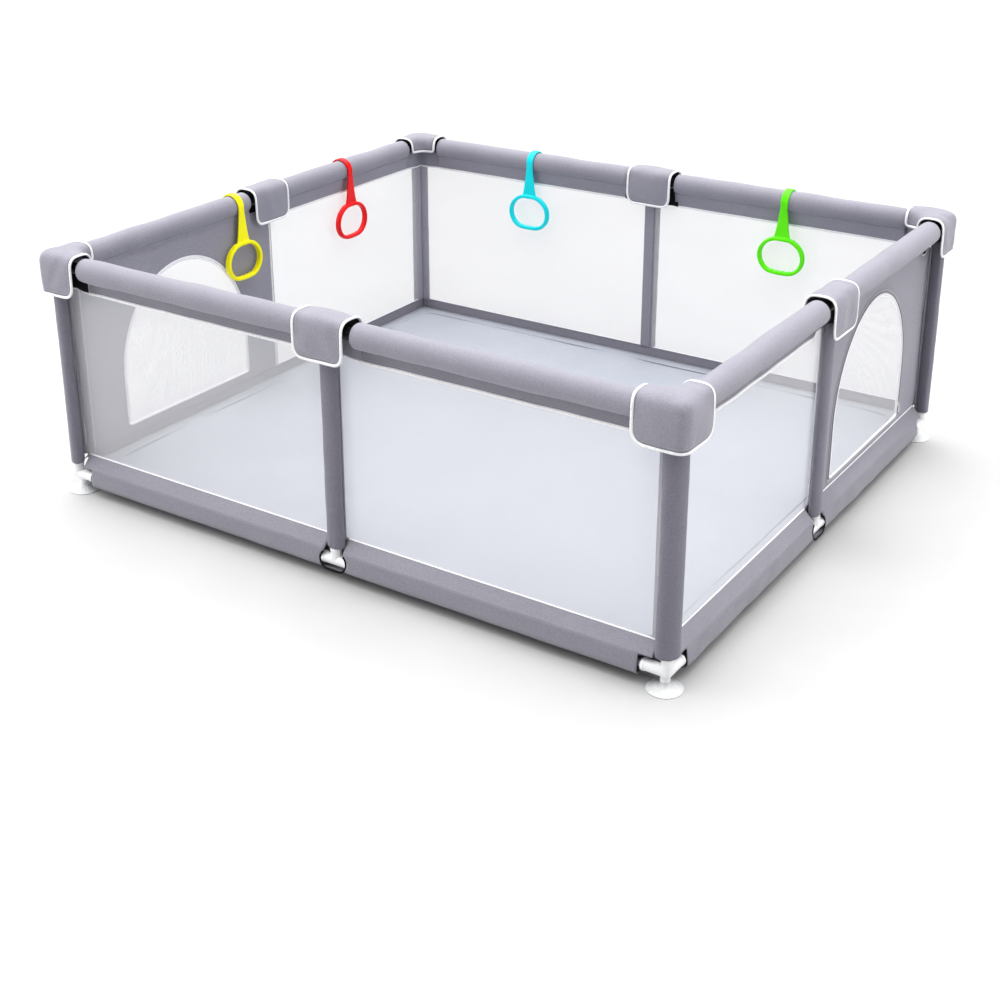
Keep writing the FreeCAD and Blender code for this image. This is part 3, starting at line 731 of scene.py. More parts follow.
def rail_roll(side, sign, name, seed):
    """A foam roll in a sewn sleeve: rounded ends, a lengthwise seam where the skirt starts."""
    start, end = pad_span(side, sign)
    lip = 0.005
    inner = 0.0165
    along = np.linspace(start + lip, end - lip, 84)
    angle = np.arange(36) * 2 * math.pi / 36
    radius = np.full(along.shape, PAD_R - 0.0008)
    near = np.minimum(along - start, end - along)
    radius -= 0.0010 * np.exp(-near / 0.012)
    rows_t = np.concatenate([[start + 0.004, start + 0.0004, start + 0.0012], along,
                             [end - 0.0012, end - 0.0004, end - 0.004]])
    rows_r = np.concatenate([[inner, PAD_R - 0.007, PAD_R - 0.0035], radius,
                             [PAD_R - 0.0035, PAD_R - 0.007, inner]])
    t, a = np.meshgrid(rows_t, angle, indexing="ij")
    r = np.repeat(rows_r[:, None], len(angle), axis=1)
    # The seam is where the wall hangs from the roll.
    seam = math.atan2(-math.sqrt(PAD_R ** 2 - MESH_Y ** 2), MESH_Y)
    off = (a - seam + math.pi) % (2 * math.pi) - math.pi
    body = (r > inner + 0.001)
    r = r - body * 0.0016 * np.exp(-(off * PAD_R / 0.0035) ** 2)
    points = stack(sign * t, r * np.cos(a), RAIL_Z + r * np.sin(a))
    swellings = ripple(points * [1, 0.4, 0.4], 0.16, seed) * 0.0007
    puckers = np.sin(t * 2 * math.pi / 0.027 + ripple(points, 0.09, seed + 50))
    puckers = puckers * np.exp(-np.abs(off) * PAD_R / 0.012)
    r = r + body * (swellings + 0.0004 * puckers)
    points = stack(sign * t, r * np.cos(a), RAIL_Z + r * np.sin(a))
    obj = grid("roll_" + name, on_side(points, side), M["fabric"], wrap=True)
    weld(obj)
    pins = (np.abs(off) * PAD_R < 0.006) | (r < PAD_R - 0.003)
    swell(obj, pins.ravel(), 0.0012)
    return obj


def skirt(side, sign, name, seed):
    """The double fold of fabric that the wall hangs from."""
    start, end = pad_span(side, sign)
    door = name in DOOR_HALVES
    bottom = DOOR_SKIRT_Z if door else SKIRT_Z
    top = RAIL_Z - 0.024
    t = np.linspace(start + 0.002, end - 0.002, 90)
    z = np.linspace(top, bottom, 9)
    grid_t, grid_z = np.meshgrid(t, z, indexing="ij")
    drop = (top - grid_z) / (top - bottom)
    foot = MESH_Y if door else wall_y(grid_t, bottom, SIDES[side][2])
    points = stack(sign * grid_t, MESH_Y + (foot - MESH_Y) * drop, grid_z)
    points[..., 1] += drop * ripple(points, 0.14, seed) * 0.0009
    obj = grid("skirt_" + name, on_side(points, side), M["sewn"], edge=grid_z - bottom + 0.002)
    thicken(obj, 0.0026)
    bottom_line = on_side(points[:, -1] + [0, 0.0006, 0], side)
    if door:
        cord = tube("seam_" + name, bottom_line, M["fabric"], radius=0.0018)
    else:
        facing = np.repeat(side_normal(side)[None], len(bottom_line), 0)
        cord = tube("piping_" + name, bottom_line, M["binding"], radius=0.0028, wide=0.0046, facing=facing)
    piece(obj, "frame", "grey_fabric")
    piece(cord, "frame", "grey_fabric" if door else "white_piping")


for index, (side, sign, name) in enumerate(HALVES):
    roll = rail_roll(side, sign, name, 10 + index)
    piece(roll, "frame", "grey_fabric", "rail_pad_" + name)
    skirt(side, sign, name, 30 + index)


# ---- saddle covers and corner caps ----

def saddle_section(bottom, inner_bottom, count=(11, 22, 11)):
    """Across a cover: (offset, height, share of the way down a flap), outer flap first."""
    down = np.linspace(1, 0, count[0] + 1)[:-1]
    outer = [(COVER_HALF_WIDTH, d, bottom) for d in down]
    over = [(COVER_HALF_WIDTH * math.cos(a), a, None) for a in np.linspace(0, math.pi, count[1] + 1)]
    inner = [(-COVER_HALF_WIDTH, d, inner_bottom) for d in np.linspace(0, 1, count[2] + 1)[1:]]
    return outer, over, inner


def section_rows(near, bottom, inner_bottom, counts):
    """Offsets and heights across a cover, for each distance near to its cut end."""
    outer, over, inner = saddle_section(bottom, inner_bottom, counts)
    cut = np.maximum(FLAP_CORNER - near, 0)
    lift = FLAP_CORNER - np.sqrt(np.maximum(FLAP_CORNER ** 2 - cut ** 2, 0))
    offsets, heights = [], []
    for w, down, low in outer + inner:
        length = COVER_SPRING_Z - low
        raised = lift * min(1.0, length / (2 * FLAP_CORNER))
        offsets.append(np.full(near.shape, w))
        heights.append(COVER_SPRING_Z - down * (length - raised))
    arch = []
    for w, a, _ in over:
        box = math.copysign(abs(math.cos(a)) ** ARCH_POWER, math.cos(a)) * COVER_HALF_WIDTH
        high = abs(math.sin(a)) ** ARCH_POWER * COVER_HALF_WIDTH
        arch.append((np.full(near.shape, box), np.full(near.shape, COVER_SPRING_Z + high)))
    first = len(outer)
    offsets = offsets[:first] + [a[0] for a in arch] + offsets[first:]
    heights = heights[:first] + [a[1] for a in arch] + heights[first:]
    return np.stack(offsets, axis=-1), np.stack(heights, axis=-1)


def rim_of(points):
    """The closed outline of a grid, and the grid's normals along it."""
    du = np.gradient(points, axis=0)
    dv = np.gradient(points, axis=1)
    normal = np.cross(du, dv)
    normal /= np.maximum(np.linalg.norm(normal, axis=-1), 1e-9)[..., None]

    def around(values):
        return np.concatenate([values[:-1, 0], values[-1, :-1], values[:0:-1, -1], values[0, :0:-1]])

    return around(points), around(normal)


def even_loop(path, normal, spacing=0.005):
    """Spread a closed path's points evenly."""
    closed = np.concatenate([path, path[:1]])
    steps = np.linalg.norm(np.diff(closed, axis=0), axis=1)
    far = np.concatenate([[0], np.cumsum(steps)])
    at = np.linspace(0, far[-1], max(8, round(far[-1] / spacing)) + 1)[:-1]
    normals = np.concatenate([normal, normal[:1]])
    even = np.stack([np.interp(at, far, closed[:, k]) for k in range(3)], axis=1)
    facing = np.stack([np.interp(at, far, normals[:, k]) for k in range(3)], axis=1)
    for _ in range(3):
        even = (np.roll(even, 1, axis=0) + even * 2 + np.roll(even, -1, axis=0)) / 4
    return even, facing


def edge_distance(points):
    """How far each grid point is from the grid's rim, along the cloth."""
    rows, cols = points.shape[:2]
    along = np.linalg.norm(np.diff(points, axis=0), axis=-1)
    across = np.linalg.norm(np.diff(points, axis=1), axis=-1)
    from_start = np.concatenate([np.zeros((1, cols)), np.cumsum(along, axis=0)])
    from_side = np.concatenate([np.zeros((rows, 1)), np.cumsum(across, axis=1)], axis=1)
    ends = np.minimum(from_start, from_start[-1:] - from_start)
    sides = np.minimum(from_side, from_side[:, -1:] - from_side)
    return np.minimum(ends, sides)


def finish_cover(name, points, node, seed):
    """Cloth, black lining and white binding of one cover."""
    crumple = ripple(points, 0.055, seed) * 0.0009 + ripple(points, 0.13, seed + 7) * 0.0012
    distance = edge_distance(points)
    du, dv = np.gradient(points, axis=0), np.gradient(points, axis=1)
    normal = np.cross(du, dv)
    normal /= np.maximum(np.linalg.norm(normal, axis=-1), 1e-9)[..., None]
    outward = np.sign((normal[:, points.shape[1] // 2, 2]).mean())
    normal *= outward
    hold = np.clip(distance / 0.02, 0, 1)
    pillow = 0.0016 * np.clip(distance / 0.03, 0, 1) - 0.0022
    shaped = points + normal * (crumple * hold + pillow)[..., None]
    obj = grid("cover_" + name, shaped, M["cover"], edge=distance)
    weld(obj, 1e-7)
    swell(obj, (distance < 0.008).ravel(), 0.0016)
    thicken(obj, 0.0024, offset=-1.0 * outward, inside=M["lining"])
    smoothed(obj)
    path, facing = rim_of(shaped)
    path, facing = even_loop(path + facing * outward * BINDING_LIFT, facing)
    binding = tube("binding_" + name, path, M["binding"], radius=BINDING[1], wide=BINDING[0], closed=True,
                   facing=facing, sides=12)
    piece(obj, "frame", "grey_fabric", node)
    piece(binding, "frame", "white_piping")
    return shaped


def mid_cover(side, seed):
    half = COVER_HALF_LENGTH - 0.002
    t = np.linspace(-half, half, 27)
    near = half - np.abs(t)
    w, z = section_rows(near, COVER_BOTTOM_Z + 0.002, COVER_BOTTOM_Z + 0.002, (12, 22, 12))
    points = stack(np.repeat(t[:, None], w.shape[1], axis=1), w, z)
    finish_cover("mid_" + side, on_side(points, side), "mid_cover_" + side,
                 seed)


def corner_cap(corner, seed):
    """Two saddles that run into each other over the corner post, as one sewn cover."""
    arm = CAP_REACH
    inner_bottom = COVER_SPRING_Z - CAP_INNER_DROP
    arms, turns = 15, 12
    sample = np.concatenate([np.linspace(0, 1, arms, endpoint=False), 1 + np.linspace(0, 1, turns),
                             2 + np.linspace(0, 1, arms, endpoint=False) + 1 / arms])
    near = np.where(sample < 1, sample * arm * 0.85, np.where(sample > 2, (3 - sample) * arm * 0.85, arm))
    w, z = section_rows(near, CAP_BOTTOM_Z + 0.002, inner_bottom, (12, 22, 2))
    share = (w + COVER_HALF_WIDTH) / (2 * COVER_HALF_WIDTH)
    w = w * (CAP_WIDTH + (COVER_HALF_WIDTH - 0.002 - CAP_WIDTH) * (1 - share)) / COVER_HALF_WIDTH
    radius = CAP_CORNER[0] + (CAP_CORNER[1] - CAP_CORNER[0]) * share
    centre = w - radius
    s = np.repeat(sample[:, None], w.shape[1], axis=1)
    turn = math.pi / 2 * (1 - np.clip(s - 1, 0, 1))
    x = centre + radius * np.cos(turn)
    y = centre + radius * np.sin(turn)
    x = np.where(s < 1, -arm + (centre + arm) * s, x)
    y = np.where(s > 2, centre - (centre + arm) * (s - 2), y)
    points = stack(x, y, z)
    finish_cover("corner_" + corner, on_corner(points, corner), "corner_cap_" + corner,
                 seed)


for index, side in enumerate(SIDES):
    mid_cover(side, 60 + index)
for index, corner in enumerate(CORNERS):
    corner_cap(corner, 70 + index)


# ---- post sleeves ----

def post_sleeve(name, half_axes, turn, place, seed):
    """A padded sleeve with a sewn edge down one side and slight creases."""
    wide, deep = half_axes
    z = np.concatenate([[SLEEVE_Z[0] + 0.003, SLEEVE_Z[0]], np.linspace(SLEEVE_Z[0] + 0.003, SLEEVE_Z[1] - 0.003, 62),
                        [SLEEVE_Z[1], SLEEVE_Z[1] - 0.003]])
    angle = np.arange(36) * 2 * math.pi / 36
    grid_z, a = np.meshgrid(z, angle, indexing="ij")
    scale = np.ones(grid_z.shape)
    scale[0], scale[-1] = 0.55, 0.55
    scale[1], scale[-2] = 0.86, 0.86
    base = stack(wide * np.cos(a), deep * np.sin(a), grid_z)
    crease = (ripple(base * [1, 1, 2.2], 0.09, seed) * 0.00015
              + ripple(base * [1, 1, 0.2], 0.06, seed + 3) * 0.0003)
    pinch = np.exp(-((a - math.pi / 2) * deep / 0.003) ** 2) * 0.0012
    size = scale * (1 + (crease - pinch) / deep)
    x, y = base[..., 0] * size, base[..., 1] * size
    angle = math.radians(turn)
    points = stack(x * math.cos(angle) - y * math.sin(angle),
                   x * math.sin(angle) + y * math.cos(angle), grid_z)
    obj = grid("sleeve_" + name, place(points), M["sleeve"], wrap=True)
    pins = (scale < 0.99) | (np.abs(a - math.pi / 2) < 0.18)
    swell(obj, pins.ravel(), 0.0008)
    return obj


for index, side in enumerate(SIDES):
    sleeve = post_sleeve("mid_" + side, MID_SLEEVE, 0, lambda p, s=side: on_side(p, s), 80 + index)
    piece(sleeve, "frame", "sleeve_fabric", "mid_post_sleeve_" + side)
for index, corner in enumerate(CORNERS):
    sleeve = post_sleeve("corner_" + corner, CORNER_SLEEVE, -45, lambda p, c=corner: on_corner(p, c),
                         90 + index)
    piece(sleeve, "frame", "sleeve_fabric", "corner_post_sleeve_" + corner)


# ---- walls ----

def wall_reach(side):
    return SIDES[side][2] + MESH_Y


def wall_point(flat, side, seed, bow=0.0010, leaning=True):
    """A flat cut hung in the wall plane of a side, with a slight bow."""
    y = wall_y(flat[..., 0], flat[..., 1], SIDES[side][2]) if leaning else MESH_Y
    points = stack(flat[..., 0], y, flat[..., 1])
    top, bottom = SKIRT_Z, HEM_TOP_Z
    hold = np.clip((flat[..., 1] - bottom) / 0.05, 0, 1) * np.clip((top - flat[..., 1]) / 0.05, 0, 1)
    if not leaning:
        hold = hold * np.clip(arch_distance(flat) / 0.08 - 0.3, 0, 1)
    points[..., 1] += hold * bow * ripple(points, 0.35, seed)
    return on_side(points, side)


def mesh_wall(side, sign, name, seed):
    reach = wall_reach(side)
    ends = sorted((0.0, sign * reach))
    t, z = np.meshgrid(np.linspace(*ends, 48), np.linspace(HEM_TOP_Z - 0.004, SKIRT_Z + 0.004, 34),
                       indexing="ij")
    obj = grid("net_" + name, wall_point(stack(t, z), side, seed), M["net"])
    piece(obj, "frame", "wall_mesh", "mesh_panel_" + name)


def door_wall(side, sign, name, seed):
    """The fabric panel with its arched opening, piping, zip tape and coil."""
    reach = wall_reach(side)
    top = DOOR_SKIRT_Z + 0.003
    ends = sorted((0.0, sign * reach))

    def away(p):
        notch = np.minimum(sign * p[..., 0] - (SIDES[side][2] - PAD_MARGIN), p[..., 1] - SKIRT_Z)
        return np.minimum(arch_distance(p), -notch)

    def edge(p):
        frame_edge = np.minimum(sign * p[..., 0], reach - sign * p[..., 0])
        ring = np.abs(arch_distance(p) - 0.014)
        return np.minimum(np.minimum(ring, frame_edge + 0.004), p[..., 1] - HEM_TOP_Z + 0.002)

    obj = cut_grid("door_panel_cloth_" + side, ends, (HEM_TOP_Z - 0.004, top), 0.008, away,
                   lambda p: wall_point(p, side, seed, 0.0010, leaning=False), M["sewn"], edge)
    thicken(obj, 0.0014)
    outline = arch_path(0.0025)
    path = on_side(stack(outline[:, 0], MESH_Y + FACE, outline[:, 1]), side)
    piping = tube("arch_piping_" + side, path, M["binding"], radius=0.0030, wide=0.0034, closed=True,
                  sides=12)
    spine = arch_path(0.0112)
    ahead = np.roll(spine, -1, axis=0) - np.roll(spine, 1, axis=0)
    ahead /= np.linalg.norm(ahead, axis=1)[:, None]
    out = stack(ahead[:, 1], -ahead[:, 0])
    tape_flat = spine[:, None] + out[:, None] * np.linspace(-0.0058, 0.0058, 4)[None, :, None]
    tape_flat = np.concatenate([tape_flat, tape_flat[:1]])
    tape_pts = on_side(stack(tape_flat[..., 0], MESH_Y + 0.0016, tape_flat[..., 1]), side)
    tape = grid("zip_tape_" + side, tape_pts, M["zip_tape"])
    weld(tape)
    thicken(tape, 0.0008)
    coil_flat = arch_path(0.0100, closed=False)
    coil = tube("zip_coil_" + side, on_side(stack(coil_flat[:, 0], MESH_Y + 0.0026, coil_flat[:, 1]), side),
                M["coil"], radius=0.0011, wide=0.0026)
    post_edge = stack(np.full(40, 0.0), MESH_Y - FACE, np.linspace(HEM_TOP_Z, top - 0.02, 40))
    post_piping = tube("panel_piping_" + side, on_side(post_edge, side), M["binding"], radius=0.0030)
    piece(obj, "frame", "grey_fabric", "door_panel_" + name)
    piece(piping, "frame", "white_piping", "door_bindings")
    piece(tape, "frame", "grey_fabric")
    piece(coil, "frame", "grey_fabric")
    piece(post_piping, "frame", "white_piping")
    length = float(np.linalg.norm(np.diff(arch_path(0.011), axis=0), axis=1).sum())


def door_net(side):
    """The mesh door, which hinges at its foot."""
    def away(p):
        return -arch_distance(p, -DOOR_PLAY)

    centre = -ARCH_CENTRE
    obj = cut_grid("door_net_" + side, (centre - ARCH_HALF, centre + ARCH_HALF),
                   (ARCH_BOTTOM_Z, ARCH_TOP_Z), 0.008, away, lambda p: on_side(stack(p[..., 0], MESH_Y, p[..., 1]), side), M["net"])
    fold = arch_path(-0.0040, closed=False)
    facing_path = on_side(stack(fold[:, 0], MESH_Y, fold[:, 1]), side)
    hem_tape = tube("door_edge_" + side, facing_path, M["binding"], radius=0.0009, wide=0.0026,
                    facing=np.repeat(side_normal(side)[None], len(fold), 0), sides=8)
    piece(obj, "door_mesh_" + side, "wall_mesh", "door_mesh_" + side)
    piece(hem_tape, "door_mesh_" + side, "white_piping")


M["coil"] = fabric("zip_coil", srgb(128, 127, 137), pitch=0.0018, speckle=0.35)
for index, (side, sign, name) in enumerate(HALVES):
    if name in DOOR_HALVES:
        door_wall(side, sign, name, 120 + index)
        door_net(side)
    else:
        mesh_wall(side, sign, name, 100 + index)


def round_corner(ends, z, half, inward):
    """A sheet across a corner of the pen, following both walls, from z low to high."""
    rows = []
    for height in z:
        run = np.linspace(-ends, MESH_Y - 0.003, 16)
        y = wall_y(half + run, height, half) - inward
        one = stack(run, y, height)
        one[..., 0] = np.minimum(one[..., 0], MESH_Y - inward - 0.002)
        rows.append(np.concatenate([one, one[::-1][:, [1, 0, 2]]]))
    return np.array(rows)


def corner_strip(corner, seed):
    """The upright strip inside a corner with its seam, and above it the web, whose black face is painted shade in the
    gap under the cap.
    """
    half = 1.0
    z = np.linspace(HEM_TOP_Z - 0.004, SKIRT_Z, 60)
    points = round_corner(STRIP - MESH_Y, z, half, 0.0016)
    first = np.arange(points.shape[1]) < points.shape[1] // 2
    bend = ripple(points, 0.12, seed) * 0.0005
    points[..., 1] -= np.abs(bend) * first
    points[..., 0] -= np.abs(bend) * ~first
    across = lengths(points, 1)[None] + 0 * points[..., 0]
    edge = np.minimum(across, across[:, -1:] - across) + 0.004
    obj = grid("strip_" + corner, on_corner(points, corner), M["strip"], edge=edge)
    thicken(obj, 0.0014)
    seams = []
    for name, inward, radius in (("inner", -0.0026, 0.0016), ("outer", 0.0030, 0.0042)):
        line = stack(np.full(50, MESH_Y + inward), MESH_Y + inward, np.linspace(HEM_TOP_Z, SKIRT_Z, 50))
        seams.append(tube("strip_seam_%s_%s" % (name, corner), on_corner(line, corner), M["fabric"],
                          radius=radius))
    reach = CAP_ARM + 0.014
    web_points = round_corner(reach, np.linspace(SKIRT_Z, WEB_TOP_Z, 8), half, 0.0006)
    # The web's black face is painted shade for the dark gap between the cap and the roll's end.
    web = grid("web_" + corner, on_corner(web_points, corner), M["black_fabric"])
    thicken(web, CLOTH, inside=M["fabric"])
    lip = round_corner(reach, [SKIRT_Z], half, 0.0016)[0]
    seams.append(tube("web_piping_" + corner, on_corner(lip, corner), M["binding"], radius=PIPING_R))
    piece(obj, "frame", "grey_fabric", "corner_strips")
    piece(web, "frame", "grey_fabric")
    for cord in seams:
        piece(cord, "frame", "white_piping" if "piping" in cord.name else "grey_fabric")


for index, corner in enumerate(CORNERS):
    corner_strip(corner, 160 + index)


def mid_web(side):
    """The web between two skirts, behind a middle cover, whose black face is painted shade in the gap there, and the
    strip that hides the post inside.
    """
    half = PAD_START + 0.006
    t, z = np.meshgrid(np.linspace(-half, half, 30), np.linspace(SKIRT_Z, WEB_TOP_Z, 8), indexing="ij")
    y = wall_y(t, z, SIDES[side][2]) - 0.0030
    # The web's black face is painted shade for the dark gap under the cover.
    obj = grid("web_mid_" + side, on_side(stack(t, y, z), side), M["black_fabric"])
    thicken(obj, CLOTH, inside=M["fabric"])
    piece(obj, "frame", "grey_fabric")
    if side in ("left", "right"):
        return
    wide = 0.018
    t, z = np.meshgrid(np.linspace(-wide, wide, 7), np.linspace(HEM_TOP_Z - 0.004, SKIRT_Z, 50),
                       indexing="ij")
    points = stack(t, MESH_Y - 0.0022 - 0.001 * (1 - (t / wide) ** 2), z)
    strip = grid("strip_mid_" + side, on_side(points, side), M["sewn"], edge=wide + 0.004 - np.abs(t))
    thicken(strip, 0.0014)
    piece(strip, "frame", "grey_fabric")


for side in SIDES:
    mid_web(side)


# ---- bottom hems ----

def hem_section():
    """Round the hem from its inner top edge, under the rail, up to its outer top edge."""
    back = MESH_Y - FACE
    low, r = HEM_BOTTOM_Z + 0.0012, HEM_CORNER_R
    turn = np.linspace(0, math.pi / 2, 8)
    parts = [
        [(back, z) for z in np.linspace(HEM_TOP_Z, low + r, 12)],
        [(back + r - r * math.cos(a), low + r - r * math.sin(a)) for a in turn[1:]],
        [(HEM_OUTER - r + r * math.sin(a), low + r - r * math.cos(a)) for a in turn],
        [(HEM_OUTER - HEM_LEAN * k, low + r + (HEM_SHOULDER_Z - low - r) * k) for k in np.linspace(0, 1, 10)[1:]],
        [(HEM_OUTER - HEM_LEAN + (MESH_Y + FACE - HEM_OUTER + HEM_LEAN) * k,
          HEM_SHOULDER_Z + (HEM_TOP_Z - HEM_SHOULDER_Z) * k) for k in np.linspace(0, 1, 8)[1:]],
    ]
    points = np.array([p for part in parts for p in part])
    far = np.concatenate([[0], np.cumsum(np.linalg.norm(np.diff(points, axis=0), axis=1))])
    return points, far, float(far[-8])


SECTION, SECTION_FAR, SHOULDER_FAR = hem_section()
HEM_WIDTH = float(SECTION_FAR[-1])


def hem_point(flat, side, seed):
    """(along, round the section) to a place on a side, with the pouch slightly uneven."""
    y = np.interp(flat[..., 1], SECTION_FAR, SECTION[:, 0])
    z = np.interp(flat[..., 1], SECTION_FAR, SECTION[:, 1])
    points = stack(flat[..., 0], y, z)
    outer = np.clip((y - MESH_Y) / (HEM_OUTER - MESH_Y), 0, 1)
    puff = ripple(points * [1, 1, 1.5], 0.10, seed) * 0.0005 + ripple(points, 0.40, seed + 4) * 0.0006
    points[..., 1] += outer * (puff - 0.0010)
    return on_side(points, side)


def hem(side, seed):
    """The sewn pouch round a bottom rail, cut away at the connectors and posts."""
    half = SIDES[side][2]
    post_z = LOW_RAIL_Z + TUBE_R
    mid_z = (HEM_BOTTOM_Z + HEM_SHOULDER_Z) / 2

    def away(p):
        y = np.interp(p[..., 1], SECTION_FAR, SECTION[:, 0])
        z = np.interp(p[..., 1], SECTION_FAR, SECTION[:, 1])
        under = SECTION_FAR[np.argmin(SECTION[:, 1])]
        front = p[..., 1] - under
        tz = stack(p[..., 0], z)
        oval = box_distance(tz, (0, mid_z), MID_CUTOUT, MID_CUTOUT[1] - 0.0001)
        post = box_distance(tz, (0, post_z + 0.1), (MID_SLEEVE[0] + SLEEVE_GAP, 0.1), 0.001)
        cut = np.minimum(oval, post)
        for end in (-1, 1):
            over = end * p[..., 0] - half
            bare = np.maximum(-(over + CORNER_CUTOUT), z - HEM_SHOULDER_Z - 0.001)
            notch = np.maximum(-(over + CORNER_SLEEVE[0] + SLEEVE_GAP), -(z - post_z))
            cut = np.minimum(cut, np.minimum(bare, notch))
        mitre = half - np.abs(p[..., 0]) + y
        return np.minimum(np.where(front > 0.004, cut, np.maximum(0.004 - front, cut)), mitre)

    def edge(p):
        return np.where(p[..., 1] > SHOULDER_FAR - 0.02, np.abs(SHOULDER_FAR - p[..., 1]) + 0.0105, 0.05)

    reach = half + HEM_OUTER
    obj = cut_grid("hem_" + side, (-reach, reach), (0, HEM_WIDTH), 0.0055, away,
                   lambda p: hem_point(p, side, seed), M["hem"], edge)
    thicken(obj, CLOTH)
    cords = []
    top_y = MESH_Y + FACE
    gap = MID_SLEEVE[0] + SLEEVE_GAP
    for end in (-1, 1):
        t = np.linspace(gap, half - CORNER_SLEEVE[0] - SLEEVE_GAP, 110) * end
        line = on_side(stack(t, top_y, HEM_TOP_Z + 0.0005), side)
        cords.append(tube("hem_piping_%s_%d" % (side, end + 2), line, M["binding"], radius=0.0019))
    inner_t = np.linspace(-half - MESH_Y, half + MESH_Y, 220)
    inner_line = on_side(stack(inner_t, MESH_Y - 0.0020, HEM_TOP_Z), side)
    cords.append(tube("hem_inner_piping_" + side, inner_line, M["fabric"], radius=0.0016))
    angle = np.linspace(0, 2 * math.pi, 72, endpoint=False)
    wide, high = MID_CUTOUT
    ring = stack(np.sign(np.cos(angle)) * (wide - high) * (np.abs(np.cos(angle)) > 0.08) + high * np.cos(angle),
                 mid_z + high * np.sin(angle))
    keep = (ring[:, 1] < post_z - 0.002) | (np.abs(ring[:, 0]) > gap)
    order = np.argsort((angle - math.pi / 2 - 0.01) % (2 * math.pi))
    ring = ring[order][keep[order]]
    ring_y = HEM_OUTER - HEM_LEAN * (ring[:, 1] - HEM_BOTTOM_Z) / (HEM_SHOULDER_Z - HEM_BOTTOM_Z)
    ring_pts = on_side(stack(ring[:, 0], ring_y, ring[:, 1]), side)
    cords.append(tube("hem_eyelet_" + side, ring_pts, M["black_fabric"], radius=0.0016, wide=0.0030,
                      facing=np.repeat(side_normal(side)[None], len(ring_pts), 0)))
    piece(obj, "frame", "grey_fabric", "bottom_hem_" + side)
    for cord in cords:
        piece(cord, "frame", "white_piping" if "hem_piping" in cord.name else "grey_fabric")


for index, side in enumerate(SIDES):
    hem(side, 180 + index)


# ---- floor ----

def floor_cloth():
    """The floor, drawn tight between the hems, with a seam set in from its edge."""
    margin = -MESH_Y + FACE + 0.0003
    x = np.linspace(-HALF_X + margin, HALF_X - margin, 150)
    y = np.linspace(-HALF_Y + margin, HALF_Y - margin, 134)
    gx, gy = np.meshgrid(x, y, indexing="ij")
    points = stack(gx, gy, FLOOR_Z)
    near = np.minimum(x[-1] - np.abs(gx), y[-1] - np.abs(gy))
    sag = np.clip(near / 0.25, 0, 1) * 0.003
    waves = ripple(points, 0.30, 7) * 0.0012 + ripple(points, 0.11, 8) * 0.0004
    points[..., 2] -= np.clip(near / 0.05, 0, 1) * (sag + waves)
    obj = grid("floor_cloth", points, M["floor_sewn"], edge=np.abs(near - 0.045) + 0.0085)
    thicken(obj, 0.0020, offset=-1.0)
    edge_x, edge_y = x[-1] - 0.045, y[-1] - 0.045
    path, facing = even_loop(stack([-edge_x, edge_x, edge_x, -edge_x], [-edge_y, -edge_y, edge_y, edge_y],
                                   FLOOR_Z + 0.0002), stack([0, 0, 0, 0], [0, 0, 0, 0], 1.0), 0.03)
    seam = tube("floor_seam", path, M["floor"], radius=0.0013, wide=0.0030, closed=True, facing=facing)
    piece(obj, "frame", "floor_fabric", "floor_mat")
    piece(seam, "frame", "floor_fabric")


floor_cloth()


# ---- suction feet ----

def suction_foot(corner):
    """A thin dished disc with a stepped neck and ribs."""
    section = [
        (0.0, 0.0045), (0.020, 0.0040), (0.033, 0.0018), (0.0385, 0.0002), (0.0425, 0.0002), (0.0438, 0.0010),
        (0.0438, 0.0022), (0.0415, 0.0030), (0.038, 0.0034), (0.0365, 0.0050), (0.031, 0.0068), (0.026, 0.0085),
        (0.0245, 0.0105), (0.018, 0.0120), (0.0125, 0.0135), (0.0115, 0.0160), (0.0095, 0.0170), (0.0092, 0.0215),
        (0.0, 0.0218),
    ]
    angle = np.arange(64) * 2 * math.pi / 64
    rows = []
    for radius, z in section:
        rib = 0.0004 * np.cos(angle * 16) * (0.015 < radius < 0.037) * (z > 0.005)
        rows.append(stack(radius * np.cos(angle) - CUP_INSET, radius * np.sin(angle) - CUP_INSET, z + rib))
    obj = grid("suction_foot_" + corner, on_corner(np.array(rows), corner), M["rubber"], wrap=True)
    weld(obj, 1e-5)
    smoothed(obj)
    piece(obj, "frame", "clear_rubber", "suction_cups")


for corner in CORNERS:
    suction_foot(corner)


# ---- pull handles ----

def rounded_section(wide, deep, radius, per_corner=4):
    """A rounded rectangle about the origin."""
    points = []
    for cx, cy, start in ((1, 1, 0), (-1, 1, 90), (-1, -1, 180), (1, -1, 270)):
        for a in np.radians(start + np.linspace(0, 90, per_corner)):
            points.append((cx * (wide / 2 - radius) + radius * math.cos(a),
                           cy * (deep / 2 - radius) + radius * math.sin(a)))
    return np.array(points)


def capped(points):
    """Close both ends of a wrapped grid with a point."""
    first = np.repeat(points[:1].mean(axis=1, keepdims=True), points.shape[1], axis=1)
    last = np.repeat(points[-1:].mean(axis=1, keepdims=True), points.shape[1], axis=1)
    return np.concatenate([first, points, last])


HANDLE_PLAY = 0.0006
STRAP = 0.0044
HANDLE_WIDTH = 0.025
RING_HALF = (RING_HIGH[0] - RING_LOW[0]) / 2
RING_BAR = 0.0118
RING_DEPTH = 0.018
RING_FLAT = 0.060
RING_RISE = 0.067
RING_Z = RING_LOW[2] + RING_FLAT
HOOK_END = math.radians(205)
SHANK_FOOT = 0.060


